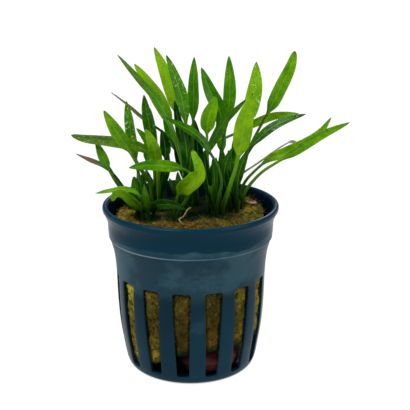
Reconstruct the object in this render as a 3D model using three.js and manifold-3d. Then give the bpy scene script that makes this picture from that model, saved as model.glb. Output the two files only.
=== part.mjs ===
// A potted dwarf water plant, Cryptocoryne parva: a slotted net pot, a plug of mineral wool with a lump of
// red clay under it, and eight short crowns in the wool that carry stalked, lance-shaped leaves.
// Millimetres, +Z up, front towards -Y. The origin is the middle of the pot's base, on what it stands on.
import * as THREE from "three";
import { mergeVertices } from "three/addons/utils/BufferGeometryUtils.js";
import Module from "manifold-3d";

const wasm = await Module();
wasm.setup();

// Driving dimensions
const GAP = 0.3; // air between pieces that touch in the real thing
const FLOOR_TOP = 1.4;
const POT_SIDES = 60; // facets round the pot, four to a slot
const SLOT_COUNT = 15;
const SLOT_PHASE = -6.1; // degrees from the front to the middle of the first slot
const SLOT = { bottom: 2.6, top: 31.7, widthBottom: 3.8, widthTop: 5.8, chamfer: 0.8, from: 15.5, to: 30 };
const DRAIN = { count: 10, from: 7, to: 15, width: 2.6 };

// Outside of the pot from the middle of its base up to the rolled lip: radius, height
const POT_OUTSIDE = [
  [0, 0], [18.6, 0], [20.2, 0.5], [21.1, 2.2], [22.2, 8], [23.1, 14], [23.7, 22], [24.1, 34], [24.7, 39],
  [25.2, 41], [25.8, 43.2], [26.2, 44.6], [26.5, 48.8], [27.4, 51.2], [28, 52.4], [27.8, 53.4], [27, 53.7],
  [26.2, 53.1],
];
const POT_INSIDE = [
  [25.5, 50.6], [24.9, 43.8], [23.8, 40.2], [23.2, 33], [22.8, 22], [22.2, 14], [21.3, 8], [20.2, 3],
  [18.6, FLOOR_TOP], [0, FLOOR_TOP],
];

const WOOL = {
  side: 0.6, // air between the wool and the wall, before the lumps
  topRadius: 23.2, // the wool is narrower than the pot's neck
  levels: [0.06, 0.2, 0.38, 0.56, 0.74, 0.9, 1],
  topRings: [0.84, 0.62, 0.4, 0.2],
  underRings: [0.45, 0.88],
  segments: 30,
  level: 50.6,
  edgeDrop: 0.8, // the top's edge lies this much lower
  wave: 0.35,
  lump: 0.16, // how far the sides bulge in and out
};
// The underside sags to the floor on the left and is held up by the clay on the right.
const WOOL_UNDERSIDE = { high: 11.8, sag: 9.8, turnX: -9, spread: 3.5 };
// Mounds and hollows of the wool's top: place, height and spread
const WOOL_MOUNDS = [
  { x: 17.9, y: 4, height: 3.2, spread: 3.9 },
  { x: 1.7, y: -20, height: 1.3, spread: 7 },
  { x: -18.3, y: -7, height: 0.9, spread: 5 },
  { x: -0.3, y: 21, height: -1.3, spread: 9 },
  { x: 15.7, y: -10, height: -0.7, spread: 3 },
];
const CLAY = {
  x: 5.5, y: -8, radius: 11, top: 10.2, segments: 16,
  lobes: [{ count: 3, depth: 0.06, shift: 1 }, { count: 5, depth: 0.05, shift: 0 }],
  // share of the radius, share of the height
  rings: [[0.8, 0], [0.97, 0.2], [1, 0.5], [0.92, 0.8], [0.6, 0.97]],
};

// A crown is sunk this far under the wool's top. Its leaf bases stand on a ring round its heart, the pointed
// bundle in the middle that young leaves grow out of, and go straight up for a short way.
const CROWN = {
  sunk: 2.2, foot: 2, shoulder: 3.2, step: 0.4, ring: 2.6, depth: 6, straight: 3.2, sides: 8,
  heart: [[1.45, 0], [1.35, 2.4], [0.95, 4], [0.5, 5.2], [0, 5.9]], // radius, height
  youngRing: 0.8, youngBase: 0.9, // where a young leaf starts inside the heart: radius, height
};
// Hole in the wool for a crown and its leaf bases
const SOCKET = { radius: CROWN.ring + 1.45, height: 20, sides: 12 };
// Half thickness of a leaf stalk, and the share of it that the other kinds of stalk have
const STALK = { base: 0.7, end: 0.45, withered: 0.6, stout: 1.3, young: 0.7 };
const SHEATH = { widen: 0.18, length: 10 }; // the foot of a stalk is this much broader, and for this long
const BLADE = { rib: 0.3, edge: 0.13, fold: 0.2, pointed: 0.65, blunt: 0.4 };
const STATIONS = { stalk: 3, blade: 6, youngStalk: 1, youngBlade: 4 }; // rings along a leaf
const VIEW = new THREE.Vector3(0, -1, 0.3).normalize(); // way that a leaf with no turn faces

const CROWNS = {
  front_left: [-13.8, -8],
  mid_left: [-10.3, 3],
  left: [-17.3, 6],
  front_mid: [-2.3, -6],
  back_mid: [-0.3, 9],
  right_mid: [7.7, -2],
  right: [14.2, 0.5],
  back_right: [10.2, 10],
};

// Each leaf: where it stands round its crown (degrees from the front, anticlockwise seen from above), the
// points that its middle passes through, its tip, the blade's width, the blade's share of the length, and
// how far the blade is turned from facing the front.
const LEAVES = {
  front_left: [
    { at: 285, by: [[-14.6, -10.5, 57.2], [-16.4, -11.5, 60.2], [-19.7, -12, 61.3], [-24.1, -12.5, 61]],
      tip: [-28.7, -12, 60.1], width: 2.6, blade: 0.62, turn: 50, stout: true },
    { at: 335, by: [[-15.3, -12, 55.2], [-18, -13.3, 58.4], [-20.3, -14, 60.6], [-22.2, -14.5, 60.8]],
      tip: [-23.6, -15, 58.4], width: 3.2, blade: 0.78, turn: -20, blunt: true },
    { at: 220, by: [[-16.9, -6.5, 58]], tip: [-17.3, -6, 63.8], width: 2.5, blade: 0.62, turn: 0,
      blunt: true },
    { at: 25, by: [[-13.2, -11, 56.1], [-13.6, -11.5, 59.4]], tip: [-14, -11.5, 62.8], width: 2.4,
      blade: 0.75, turn: 10 },
    { at: 80, by: [[-10.3, -12.5, 56.4], [-7.8, -14, 57.3], [-4.8, -15.5, 57.5]],
      tip: [-1.2, -16.5, 56.4], width: 3.3, blade: 0.72, turn: 20 },
  ],
  mid_left: [
    { at: 10, by: [[-10, -2.5, 60.1], [-10.1, -5, 66.2], [-11.1, -7, 73.1]], tip: [-13.4, -8, 79.3],
      width: 3.9, blade: 0.47, turn: 0, stout: true },
    { at: 315, by: [[-12.8, 0, 60], [-15.1, -2.5, 64.6], [-19.1, -5, 72.5], [-22.2, -6, 77.7]],
      tip: [-26, -6.5, 84.6], width: 4, blade: 0.4, turn: 5, stout: true },
    { at: 270, by: [[-11.4, 1.5, 61.2], [-12.3, 1, 67.3], [-14.8, 0, 71.1], [-19.1, -0.5, 72.8],
      [-26.3, -0.5, 73.9], [-33, -1, 74.7]], tip: [-36.9, -1, 75.7], width: 3.7, blade: 0.58, turn: -15,
      blunt: true },
    { at: 65, by: [[-11.1, 3.5, 61.7], [-12.1, 4.5, 72.9], [-13.7, 5, 81.5]], tip: [-14.5, 5, 87.3],
      width: 4.1, blade: 0.43, turn: -20 },
    { at: 110, by: [[-8.6, 5.5, 59.5], [-8.1, 6.5, 69.1]], tip: [-9.2, 7, 75.7], width: 3.5, blade: 0.36,
      turn: 10 },
    { at: 225, by: [[-11.4, 9, 58.5], [-12.6, 15, 70.4]], tip: [-13.5, 18, 80.5], width: 3.2, blade: 0.5,
      turn: 0 },
    { at: 180, by: [[-9.7, 7.5, 58.3], [-10.7, 8, 65.5], [-12.8, 8.5, 69.7], [-15, 9, 73]],
      tip: [-17.4, 9, 75.7], width: 2.6, blade: 0.35, turn: 20 },
  ],
  left: [
    { at: 60, by: [[-15.9, 4, 58.6], [-16.8, 3.5, 63.1], [-18.4, 2.5, 73.3], [-19, 2, 79.5]],
      tip: [-19.8, 2, 85.9], width: 3.6, blade: 0.42, turn: -20 },
    { at: 310, by: [[-19, 3.2, 53.5], [-21.2, 1.5, 56.6], [-23.8, 0, 60.8], [-27.1, 0, 67.5]],
      tip: [-29.7, 1.5, 73.3], width: 3, blade: 0.36, turn: 10 },
    { at: 265, by: [[-19.3, 4.5, 54.7], [-21.4, 4, 57.2], [-24.1, 3.5, 61.3], [-27, 3.5, 64.3],
      [-31.9, 3.5, 66.5]], tip: [-36.4, 4, 68.5], width: 2.2, blade: 0.5, turn: 45 },
    { at: 215, by: [[-17.2, 9, 60.2], [-18.9, 13, 69.2]], tip: [-20.2, 17, 78.4], width: 3, blade: 0.5,
      turn: 20 },
    { at: 140, by: [[-14.8, 12, 59.4], [-14.6, 19, 66.1]], tip: [-14.7, 23, 72.7], width: 3, blade: 0.45,
      turn: 10 },
  ],
  front_mid: [
    { at: 320, by: [[-1.3, -9.5, 57.3], [0, -10, 61.9], [-0.2, -10.3, 66.1], [-2.7, -10.8, 67.6],
      [-6.9, -11.4, 68.5], [-12, -12.2, 69]], tip: [-18.3, -13, 68.4], width: 3.6, blade: 0.47,
      turn: -5 },
    { at: 285, by: [[-4.3, -7.5, 55.7], [-3.6, -9.5, 58.9], [-1.2, -12.5, 62.3], [1.1, -13.5, 64.6],
      [2.8, -14, 67.2], [2.4, -14, 70], [1.5, -13.5, 72]], tip: [0.8, -12.5, 73.8], width: 5.2,
      blade: 0.66, turn: 12, blunt: true },
    { at: 200, by: [[-2, -2.5, 61.7], [-3, -1.5, 71.1], [-6.3, 0, 79], [-9.9, 1.5, 85.7], [-15.6, 3, 92]],
      tip: [-22.4, 4, 99.9], width: 2.7, blade: 0.55, turn: 25 },
    { at: 150, by: [[-0.5, -1, 62.9], [-1, 0, 75.5], [-2.6, 1.5, 86.9], [-4.9, 2, 93.9]],
      tip: [-7.3, 2, 100.1], width: 3.9, blade: 0.44, turn: 10 },
    { at: 240, by: [[-1, -5, 62.4], [-1.1, -5, 71.9]], tip: [-2.6, -4, 81.4], width: 3.6, blade: 0.62,
      turn: -15 },
  ],
  back_mid: [
    { at: 258, by: [[-2.3, 9, 60.2], [-5.1, 9.5, 71.4], [-7.3, 9.5, 79], [-10.4, 9.5, 85.5],
      [-14.1, 9.5, 91.3]], tip: [-17.7, 10, 96.2], width: 4.6, blade: 0.47, turn: -10 },
    { at: 300, by: [[-1.4, 6.8, 60.8], [-3.4, 6.8, 75.9], [-5.5, 6.8, 86], [-8.3, 6.5, 94.8]],
      tip: [-11.2, 6.5, 101.9], width: 4.2, blade: 0.43, turn: 5 },
    { at: 20, by: [[0.5, 8, 63.8], [0.8, 10, 79.8]], tip: [1.2, 10.5, 98.3], width: 3.9, blade: 0.42,
      turn: -15 },
    { at: 340, by: [[-1, 5, 62.3], [-2.9, 4.5, 72.9]], tip: [-5, 4.5, 85.6], width: 3, blade: 0.45,
      turn: 20 },
    { at: 190, by: [[-3.7, 17, 61.5]], tip: [-9.3, 21, 79.9], width: 3.6, blade: 0.45, turn: -15 },
    { at: 110, by: [[1.8, 12, 61.8], [6.7, 13, 69.3], [13.6, 13, 72.7], [19.7, 12.5, 76.2],
      [26.1, 12, 78.9], [30.3, 11.5, 79.7]], tip: [34.7, 11, 80.1], width: 2.9, blade: 0.38, turn: 20 },
    { at: 225, by: [[-2.3, 12, 60.4], [-5.2, 12.5, 68.7], [-8.1, 12.5, 72.7], [-11.6, 12.5, 75.5],
      [-16, 12, 78.6], [-20.5, 12, 82.7]], tip: [-25.4, 12, 86.7], width: 2.3, blade: 0.4, turn: 55 },
  ],
  right_mid: [
    { at: 60, by: [[12, -5, 59.5], [14, -6, 66.5], [15.4, -7, 73.8], [16.6, -7.5, 81.8]],
      tip: [18.8, -8, 90.1], width: 5.7, blade: 0.5, turn: 5, stout: true },
    { at: 280, by: [[5.7, -2, 62.2], [5.2, -1, 71.6], [5.5, 0, 80.6], [6.8, 0.5, 84.3]],
      tip: [7.9, 1, 87.5], width: 4.8, blade: 0.32, turn: 10 },
    { at: 10, by: [[8.8, -5.8, 57.1], [9.7, -6.3, 61.8], [8.6, -6.6, 67], [5.8, -6.6, 72],
      [3.3, -6.2, 75.6], [0.5, -6, 77.9], [-3.3, -5.6, 80]], tip: [-7.4, -5.4, 82.2], width: 3.1,
      blade: 0.45, turn: 30 },
    { at: 185, by: [[9, 4.1, 61.5], [10.8, 8, 73.7], [12.4, 9.5, 85.4], [12.4, 10, 93]],
      tip: [12.1, 10, 98.7], width: 4.1, blade: 0.42, turn: -10 },
    { at: 235, by: [[5, 0.5, 61.5], [5.6, 1.5, 69.7], [7.9, 2, 74.8], [11, 2, 80.1], [14.2, 1.5, 83.3]],
      tip: [17.2, 0.5, 86.7], width: 3.1, blade: 0.55, turn: 20 },
    { at: 130, by: [[8.9, 3, 62.8], [10.4, 5.3, 75.3], [9, 6, 82.2], [6.1, 6.5, 88.2]],
      tip: [3.4, 7, 95.5], width: 4.7, blade: 0.48, turn: 10 },
  ],
  right: [
    { at: 10, by: [[14.7, -2, 59.6], [15.7, -2.5, 65.6]], tip: [18.1, -3, 71.9], width: 2.9, blade: 0.6,
      turn: -5 },
    { at: 60, by: [[17, -1.5, 57.3], [18.8, -2, 60.2], [22.2, -3, 64.3], [27.2, -4, 68],
      [32.6, -4.5, 71.6], [39.3, -5, 76.2]], tip: [48.6, -5.5, 80.7], width: 3.1, blade: 0.53, turn: 10 },
    { at: 235, by: [[12.6, 2.5, 56.7], [13.3, 2.8, 59.9], [16.3, 2.9, 62.3], [21.1, 2.6, 65.7],
      [26.9, 2, 70.2], [31.4, 1.5, 73]], tip: [33.9, 1.5, 72.6], width: 1, blade: 0.1, turn: 0,
      withered: true },
    { at: 105, by: [[15.7, 1, 56.1], [17.4, 0.3, 60.6], [20.9, -0.3, 64.7], [24.9, -0.7, 68.2],
      [28.9, -1, 69.9], [35.6, -1, 73.1], [40.4, -1, 76.8]], tip: [43.5, -1, 81.3], width: 3.3,
      blade: 0.62, turn: 0 },
    { at: 195, by: [[14.4, 4.8, 58], [17, 5, 65.9], [20.1, 5.5, 71.2], [24.6, 5.5, 75.8],
      [30.2, 5.5, 79]], tip: [36.4, 5.5, 81], width: 3.2, blade: 0.5, turn: -30 },
    { at: 320, by: [[10.5, -3, 62.5], [11.4, -3.2, 68.3]], tip: [13.2, -3.5, 72.5], width: 2.6,
      blade: 0.6, turn: -10 },
  ],
  back_right: [
    { at: 20, by: [[13, 7, 60.7], [16.1, 7, 71.3], [19.5, 7, 84.2], [20.5, 7, 90.6]],
      tip: [20.6, 7.5, 97.2], width: 5.1, blade: 0.42, turn: -10 },
    { at: 70, by: [[14.4, 10, 58.9], [20.6, 9.5, 72.8], [24.9, 9, 81.3], [28.4, 9, 88.7],
      [31.4, 9, 95.3]], tip: [32.7, 9, 100.3], width: 4.2, blade: 0.4, turn: 10, blunt: true },
    { at: 110, by: [[14.8, 15, 62]], tip: [19.6, 19, 84.6], width: 3.2, blade: 0.5, turn: 20 },
    { at: 185, by: [[13.2, 16, 61.7]], tip: [17.6, 22, 76.3], width: 3.6, blade: 0.45, turn: 15 },
    { at: 230, by: [[10.2, 16, 61.7]], tip: [9.2, 23, 78.2], width: 3.4, blade: 0.45, turn: -5 },
  ],
};

// Young leaves, given the same way. They grow out of a crown's heart and are part of its solid.
const YOUNG = {
  front_left: [
    { at: 60, by: [[-12.8, -9.2, 55.6], [-12.4, -9.6, 57.3]], tip: [-12.6, -10, 59.2], width: 2.6,
      blade: 0.85, turn: 10 },
    { at: 300, by: [[-14.9, -7.9, 55.8], [-16, -7.7, 57.7]], tip: [-17.2, -7.6, 60.2], width: 2,
      blade: 0.7, turn: 0 },
  ],
  mid_left: [
    { at: 100, by: [[-9.6, 4.2, 57.2], [-8, 4.1, 62.5]], tip: [-7, 4, 69.1], width: 2.9, blade: 0.75,
      turn: 0 },
    { at: 350, by: [[-9.7, 1.1, 57.4], [-9, 0.8, 60.8]], tip: [-8.6, 0.6, 65.1], width: 2.1, blade: 0.8,
      turn: 10 },
    { at: 240, by: [[-11.6, 4.4, 56.4], [-13, 4.9, 59.6]], tip: [-13.9, 5.2, 62.6], width: 2.3,
      blade: 0.8, turn: -10 },
  ],
  left: [
    { at: 90, by: [[-16.6, 6.8, 55.8], [-15.8, 7.6, 58.9]], tip: [-15.4, 8.2, 61.9], width: 2.3,
      blade: 0.75, turn: 0 },
  ],
  front_mid: [
    { at: 40, by: [[-0.4, -7.2, 57.2], [1.2, -7.8, 60.6]], tip: [2.6, -8.2, 64.5], width: 2.5,
      blade: 0.75, turn: 20 },
    { at: 350, by: [[-2.7, -7.3, 57.9], [-3.3, -7.7, 61.2]], tip: [-3.8, -7.9, 65.9], width: 3,
      blade: 0.75, turn: -10 },
    { at: 250, by: [[-2.9, -6.5, 57], [-4.6, -6.5, 59.6]], tip: [-6.5, -6.4, 63.4], width: 2.6,
      blade: 0.75, turn: -10 },
    { at: 100, by: [[-0.7, -5.4, 57.3], [1.6, -5, 61.7]], tip: [2.7, -4.8, 69], width: 3.2, blade: 0.75,
      turn: 0 },
    { at: 20, by: [[-1.5, -6.8, 59.7], [-0.2, -7.5, 66.3]], tip: [0.3, -7.5, 73.8], width: 3.1,
      blade: 0.7, turn: 5 },
  ],
  back_mid: [
    { at: 75, by: [[1.2, 10.4, 59.8], [2.2, 11.4, 68]], tip: [1.2, 12, 77.9], width: 3.7, blade: 0.7,
      turn: 0 },
    { at: 330, by: [[-1.1, 8.5, 60.3], [-1.6, 8.9, 68.6]], tip: [-2, 9.2, 76.4], width: 3, blade: 0.7,
      turn: 10 },
    { at: 240, by: [[-1.8, 10.5, 59.4], [-3.7, 10.8, 64.8]], tip: [-5.5, 10.9, 71.1], width: 3.1,
      blade: 0.7, turn: 0 },
    { at: 150, by: [[0, 11, 59.6], [-0.3, 13, 67.6]], tip: [0.2, 14, 76], width: 3.2, blade: 0.65,
      turn: -10 },
  ],
  right_mid: [
    { at: 320, by: [[5.8, -3.6, 58.8], [4.9, -4.2, 64.7]], tip: [4.4, -4.6, 71.5], width: 2.8,
      blade: 0.75, turn: 0 },
    { at: 350, by: [[7.3, -3.6, 58.1], [7.5, -3.9, 63]], tip: [7, -4, 69.2], width: 2.7, blade: 0.75,
      turn: -10 },
    { at: 90, by: [[8.6, -1.8, 58.2], [8.6, -2, 63.2]], tip: [8, -2.2, 68.7], width: 2.7, blade: 0.75,
      turn: 0 },
    { at: 330, by: [[6.5, -3.8, 58.2], [6.3, -3.7, 62]], tip: [6.4, -3.5, 66.8], width: 1.7, blade: 0.6,
      turn: 0 },
  ],
  right: [
    { at: 300, by: [[12.2, -0.4, 58.5], [10.7, -0.9, 64.5]], tip: [9.5, -1.4, 72.2], width: 3.1,
      blade: 0.7, turn: -10 },
    { at: 150, by: [[14.5, 1.1, 58.7], [15.4, 1, 63.3]], tip: [16.1, 0.8, 68.3], width: 2.5, blade: 0.75,
      turn: 0 },
    { at: 340, by: [[13.4, -0.6, 58.5], [12.7, -1, 64.5]], tip: [11.8, -1, 71], width: 2.7, blade: 0.7,
      turn: 10 },
  ],
  back_right: [
    { at: 320, by: [[8.8, 9, 59.2], [8.5, 9, 62.5]], tip: [8.1, 8.6, 66.3], width: 2, blade: 0.7,
      turn: 0 },
    { at: 60, by: [[11.7, 9.4, 60.1], [13.6, 9.1, 65.2]], tip: [14.5, 9, 71.2], width: 3, blade: 0.75,
      turn: 0 },
    { at: 0, by: [[10.6, 8.5, 59.3], [11.4, 8.2, 63.4]], tip: [11.8, 8, 67.3], width: 2.5, blade: 0.7,
      turn: 0 },
  ],
};

const ROOT_ROUTE = [
  [0.1, -9.3, 54.7], [-0.8, -11.5, 54.7], [-1.3, -13, 54.2], [-2.2, -15, 53.5], [-3.1, -15.7, 53.2],
  [-3, -17, 52.9], [-1.8, -19, 52.4],
];
const ROOT_RADIUS = 0.25;
const FLAKE = { x: 19.3, y: 0.6, length: 4, width: 1.6, thickness: 0.4, lift: 0.9, tilt: 30, heading: -25 };

const MATERIALS = {
  pot: new THREE.MeshStandardMaterial({ color: 0x1f3a50, roughness: 0.38, metalness: 0 }),
  wool: new THREE.MeshStandardMaterial({ color: 0x6b6030, roughness: 0.95, metalness: 0 }),
  clay: new THREE.MeshStandardMaterial({ color: 0x4a1a18, roughness: 0.85, metalness: 0 }),
  crown: new THREE.MeshStandardMaterial({ color: 0x3d5a20, roughness: 0.6, metalness: 0 }),
  leaf: new THREE.MeshStandardMaterial({ color: 0x3f8a12, roughness: 0.35, metalness: 0 }),
  dead_leaf: new THREE.MeshStandardMaterial({ color: 0x8a8674, roughness: 0.8, metalness: 0 }),
  root: new THREE.MeshStandardMaterial({ color: 0xb3a878, roughness: 0.7, metalness: 0 }),
  flake: new THREE.MeshStandardMaterial({ color: 0x9c7458, roughness: 0.85, metalness: 0 }),
};

const radians = THREE.MathUtils.degToRad;
const smooth = THREE.MathUtils.smoothstep;

// The closed mesh as a manifold-3d solid.
function solidOf(geometry) {
  const bare = geometry.clone();
  bare.deleteAttribute("normal");
  bare.deleteAttribute("uv");
  const merged = mergeVertices(bare, 1e-4);
  return new wasm.Manifold(
    new wasm.Mesh({
      numProp: 3,
      vertProperties: new Float32Array(merged.attributes.position.array),
      triVerts: new Uint32Array(merged.index.array),
    }),
  );
}

function geometryOf(solid) {
  const { vertProperties, triVerts } = solid.getMesh();
  const geometry = new THREE.BufferGeometry();
  geometry.setAttribute("position", new THREE.BufferAttribute(vertProperties, 3));
  geometry.setIndex(new THREE.BufferAttribute(triVerts, 1));
  geometry.computeVertexNormals();
  return geometry;
}

function meshOf(name, geometry, material) {
  const mesh = new THREE.Mesh(geometry, material);
  mesh.name = name;
  return mesh;
}

// A profile of [radius, height] pairs turned round the Z axis.
function turned(profile, sides) {
  const points = profile.map(([radius, height]) => new THREE.Vector2(radius, height));
  return new THREE.LatheGeometry(points, sides).rotateX(Math.PI / 2);
}

// One closed body from rings of points, each ring with the same count, and a pole at each end.
function lofted(firstPole, rings, lastPole) {
  const count = rings[0].length;
  const points = [firstPole, ...rings.flat(), lastPole];
  const last = points.length - 1;
  const faces = [];
  for (let i = 0; i < count; i++) {
    const next = (i + 1) % count;
    faces.push(0, 1 + next, 1 + i);
    for (let k = 0; k < rings.length - 1; k++) {
      const low = 1 + k * count;
      const high = low + count;
      faces.push(low + i, low + next, high + next, low + i, high + next, high + i);
    }
    faces.push(last, last - count + i, last - count + next);
  }
  const geometry = new THREE.BufferGeometry().setFromPoints(points);
  geometry.setIndex(faces);
  geometry.computeVertexNormals();
  return geometry;
}

// Inner radius of the pot at a height.
function potInside(height) {
  const wall = POT_INSIDE.slice(0, -1).reverse();
  if (height <= wall[0][1]) return wall[0][0];
  for (let i = 1; i < wall.length; i++) {
    const [[r0, z0], [r1, z1]] = [wall[i - 1], wall[i]];
    if (height <= z1) return r0 + ((r1 - r0) * (height - z0)) / (z1 - z0);
  }
  return wall.at(-1)[0];
}

// A cutter for one slot: a trapezium with cut corners, pushed outwards through the wall at an angle.
function slotCutter(angle) {
  const { bottom, top, widthBottom, widthTop, chamfer, from, to } = SLOT;
  const low = widthBottom / 2;
  const high = widthTop / 2;
  const outline = new THREE.Shape([
    new THREE.Vector2(-low + chamfer, bottom), new THREE.Vector2(low - chamfer, bottom),
    new THREE.Vector2(low, bottom + chamfer), new THREE.Vector2(high, top - chamfer),
    new THREE.Vector2(high - chamfer, top), new THREE.Vector2(-high + chamfer, top),
    new THREE.Vector2(-high, top - chamfer), new THREE.Vector2(-low, bottom + chamfer),
  ]);
  const outwards = new THREE.Vector3(Math.sin(angle), -Math.cos(angle), 0);
  const along = new THREE.Vector3(Math.cos(angle), Math.sin(angle), 0);
  const place = new THREE.Matrix4().makeBasis(along, new THREE.Vector3(0, 0, 1), outwards);
  place.setPosition(outwards.clone().multiplyScalar(from));
  return new THREE.ExtrudeGeometry(outline, { depth: to - from, bevelEnabled: false }).applyMatrix4(place);
}

// A cutter for one drain hole in the floor, a bar that points outwards from the middle.
function drainCutter(angle) {
  const bar = new THREE.BoxGeometry(DRAIN.to - DRAIN.from, DRAIN.width, 4 * FLOOR_TOP);
  return bar.translate((DRAIN.from + DRAIN.to) / 2, 0, 0).rotateZ(angle);
}

function netPot() {
  let pot = solidOf(turned([...POT_OUTSIDE, ...POT_INSIDE], POT_SIDES));
  for (let i = 0; i < SLOT_COUNT; i++) {
    pot = pot.subtract(solidOf(slotCutter(radians(SLOT_PHASE) + (i * 2 * Math.PI) / SLOT_COUNT)));
  }
  for (let i = 0; i < DRAIN.count; i++) {
    pot = pot.subtract(solidOf(drainCutter((i * 2 * Math.PI) / DRAIN.count)));
  }
  return meshOf("net_pot", geometryOf(pot), MATERIALS.pot);
}

// Height of the wool's top, a level with mounds, hollows and small waves.
function woolTop(x, y) {
  const waves = WOOL.wave * Math.sin(0.9 * x + 1) * Math.cos(0.8 * y);
  return WOOL_MOUNDS.reduce(
    (height, mound) =>
      height + mound.height * Math.exp(-((x - mound.x) ** 2 + (y - mound.y) ** 2) / (2 * mound.spread ** 2)),
    WOOL.level + waves,
  );
}

function woolBottom(x) {
  const { high, sag, turnX, spread } = WOOL_UNDERSIDE;
  return high - sag / (1 + Math.exp((x - turnX) / spread));
}

function woolRadius(angle, height) {
  const lumps = Math.sin(5 * angle + height / 4) + 0.8 * Math.sin(9 * angle - height / 3);
  return Math.min(potInside(height) - WOOL.side, WOOL.topRadius) + WOOL.lump * lumps;
}

function woolPlug() {
  const angles = Array.from({ length: WOOL.segments }, (_, i) => (i * 2 * Math.PI) / WOOL.segments);
  const atRadius = (angle, radius, height) => {
    const [x, y] = [radius * Math.cos(angle), radius * Math.sin(angle)];
    return new THREE.Vector3(x, y, height(x, y));
  };
  const rimOf = (angle) => {
    const bottom = woolBottom(20 * Math.cos(angle));
    const edge = woolRadius(angle, WOOL.level - 1);
    return { bottom, top: woolTop(edge * Math.cos(angle), edge * Math.sin(angle)) - WOOL.edgeDrop, edge };
  };
  const under = WOOL.underRings.map((share) =>
    angles.map((angle) => atRadius(angle, share * woolRadius(angle, rimOf(angle).bottom), woolBottom)),
  );
  const sides = WOOL.levels.map((level) =>
    angles.map((angle) => {
      const { bottom, top } = rimOf(angle);
      const height = THREE.MathUtils.lerp(bottom, top, level);
      return atRadius(angle, woolRadius(angle, height), () => height);
    }),
  );
  const over = WOOL.topRings.map((share) =>
    angles.map((angle) => atRadius(angle, share * rimOf(angle).edge, woolTop)),
  );
  const poles = [new THREE.Vector3(0, 0, woolBottom(0)), new THREE.Vector3(0, 0, woolTop(0, 0))];
  let wool = solidOf(lofted(poles[0], [...under, ...sides, ...over], poles[1]));
  for (const [x, y] of Object.values(CROWNS)) {
    const floor = crownHeight(x, y) - CROWN.depth - GAP;
    const { radius, height, sides } = SOCKET;
    const socket = new THREE.CylinderGeometry(radius, radius, height, sides).rotateX(Math.PI / 2);
    wool = wool.subtract(solidOf(socket.translate(x, y, floor + height / 2)));
  }
  return meshOf("rockwool_plug", geometryOf(wool), MATERIALS.wool);
}

function clayLump() {
  const { x, y, radius, top, segments, lobes, rings } = CLAY;
  const floor = FLOOR_TOP + GAP;
  const ring = (share, rise) =>
    Array.from({ length: segments }, (_, i) => {
      const angle = (i * 2 * Math.PI) / segments;
      const swells = lobes.map(({ count, depth, shift }) => depth * Math.sin(count * angle + shift));
      const reach = share * radius * swells.reduce((sum, swell) => sum + swell, 1);
      const place = new THREE.Vector2(x + reach * Math.cos(angle), y + reach * Math.sin(angle));
      const height = Math.min(floor + rise * (top - floor), woolBottom(place.x) - 2 * GAP);
      place.clampLength(0, potInside(height) - 3 * GAP);
      return new THREE.Vector3(place.x, place.y, height);
    });
  const poles = [new THREE.Vector3(x, y, floor), new THREE.Vector3(x, y, woolBottom(x) - 3 * GAP)];
  const lump = lofted(poles[0], rings.map(([share, rise]) => ring(share, rise)), poles[1]);
  return meshOf("clay_lump", lump, MATERIALS.clay);
}

// Height of the shoulder that the leaf bases of a crown stand on, a little under the wool's top.
function crownHeight(x, y) {
  return woolTop(x, y) - CROWN.sunk;
}

function crownBody() {
  const { foot, shoulder, step, depth, sides, heart } = CROWN;
  return turned(
    [[0, -depth], [foot, -depth], [shoulder, 1 - depth], [shoulder, -step], [shoulder - step, 0], ...heart],
    sides,
  );
}

// Half width of a blade at a share of its length: broadest before the middle, pointed or blunt at the tip.
function bladeShape(share, leaf) {
  return Math.sin(Math.PI * share ** 0.8) ** (leaf.blunt ? BLADE.blunt : BLADE.pointed);
}

// The corners of a leaf at a share of its length: a round stalk that opens into a thin folded blade. A young
// leaf has four, the others six.
function leafSection(share, leaf, length) {
  const full = THREE.MathUtils.lerp(STALK.base, STALK.end, Math.min(1, share / (1 - leaf.blade)));
  const kind = ["withered", "stout", "young"].find((word) => leaf[word]);
  const stalk = kind ? full * STALK[kind] : full;
  const sheath = 1 + SHEATH.widen * (1 - smooth(share * length, 0, SHEATH.length));
  const along = Math.max(0, (share - 1 + leaf.blade) / leaf.blade);
  const open = smooth(along, 0, 0.25);
  const least = along > 0.5 ? 0.15 : stalk * 0.87 * sheath;
  const half = Math.max((leaf.width / 2) * bladeShape(Math.min(along, 0.999), leaf), least);
  const lift = BLADE.fold * half * open;
  const rib = THREE.MathUtils.lerp(stalk, BLADE.rib, open) * (1 - 0.5 * smooth(along, 0.7, 1));
  const edge = THREE.MathUtils.lerp(stalk / 2, BLADE.edge, open);
  if (leaf.young) return [[-half, lift], [0, rib], [half, lift], [0, -rib]];
  const [over, under] = [lift + edge, lift - edge];
  return [[-half, over], [0, rib], [half, over], [half, under], [0, -rib], [-half, under]];
}

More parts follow.
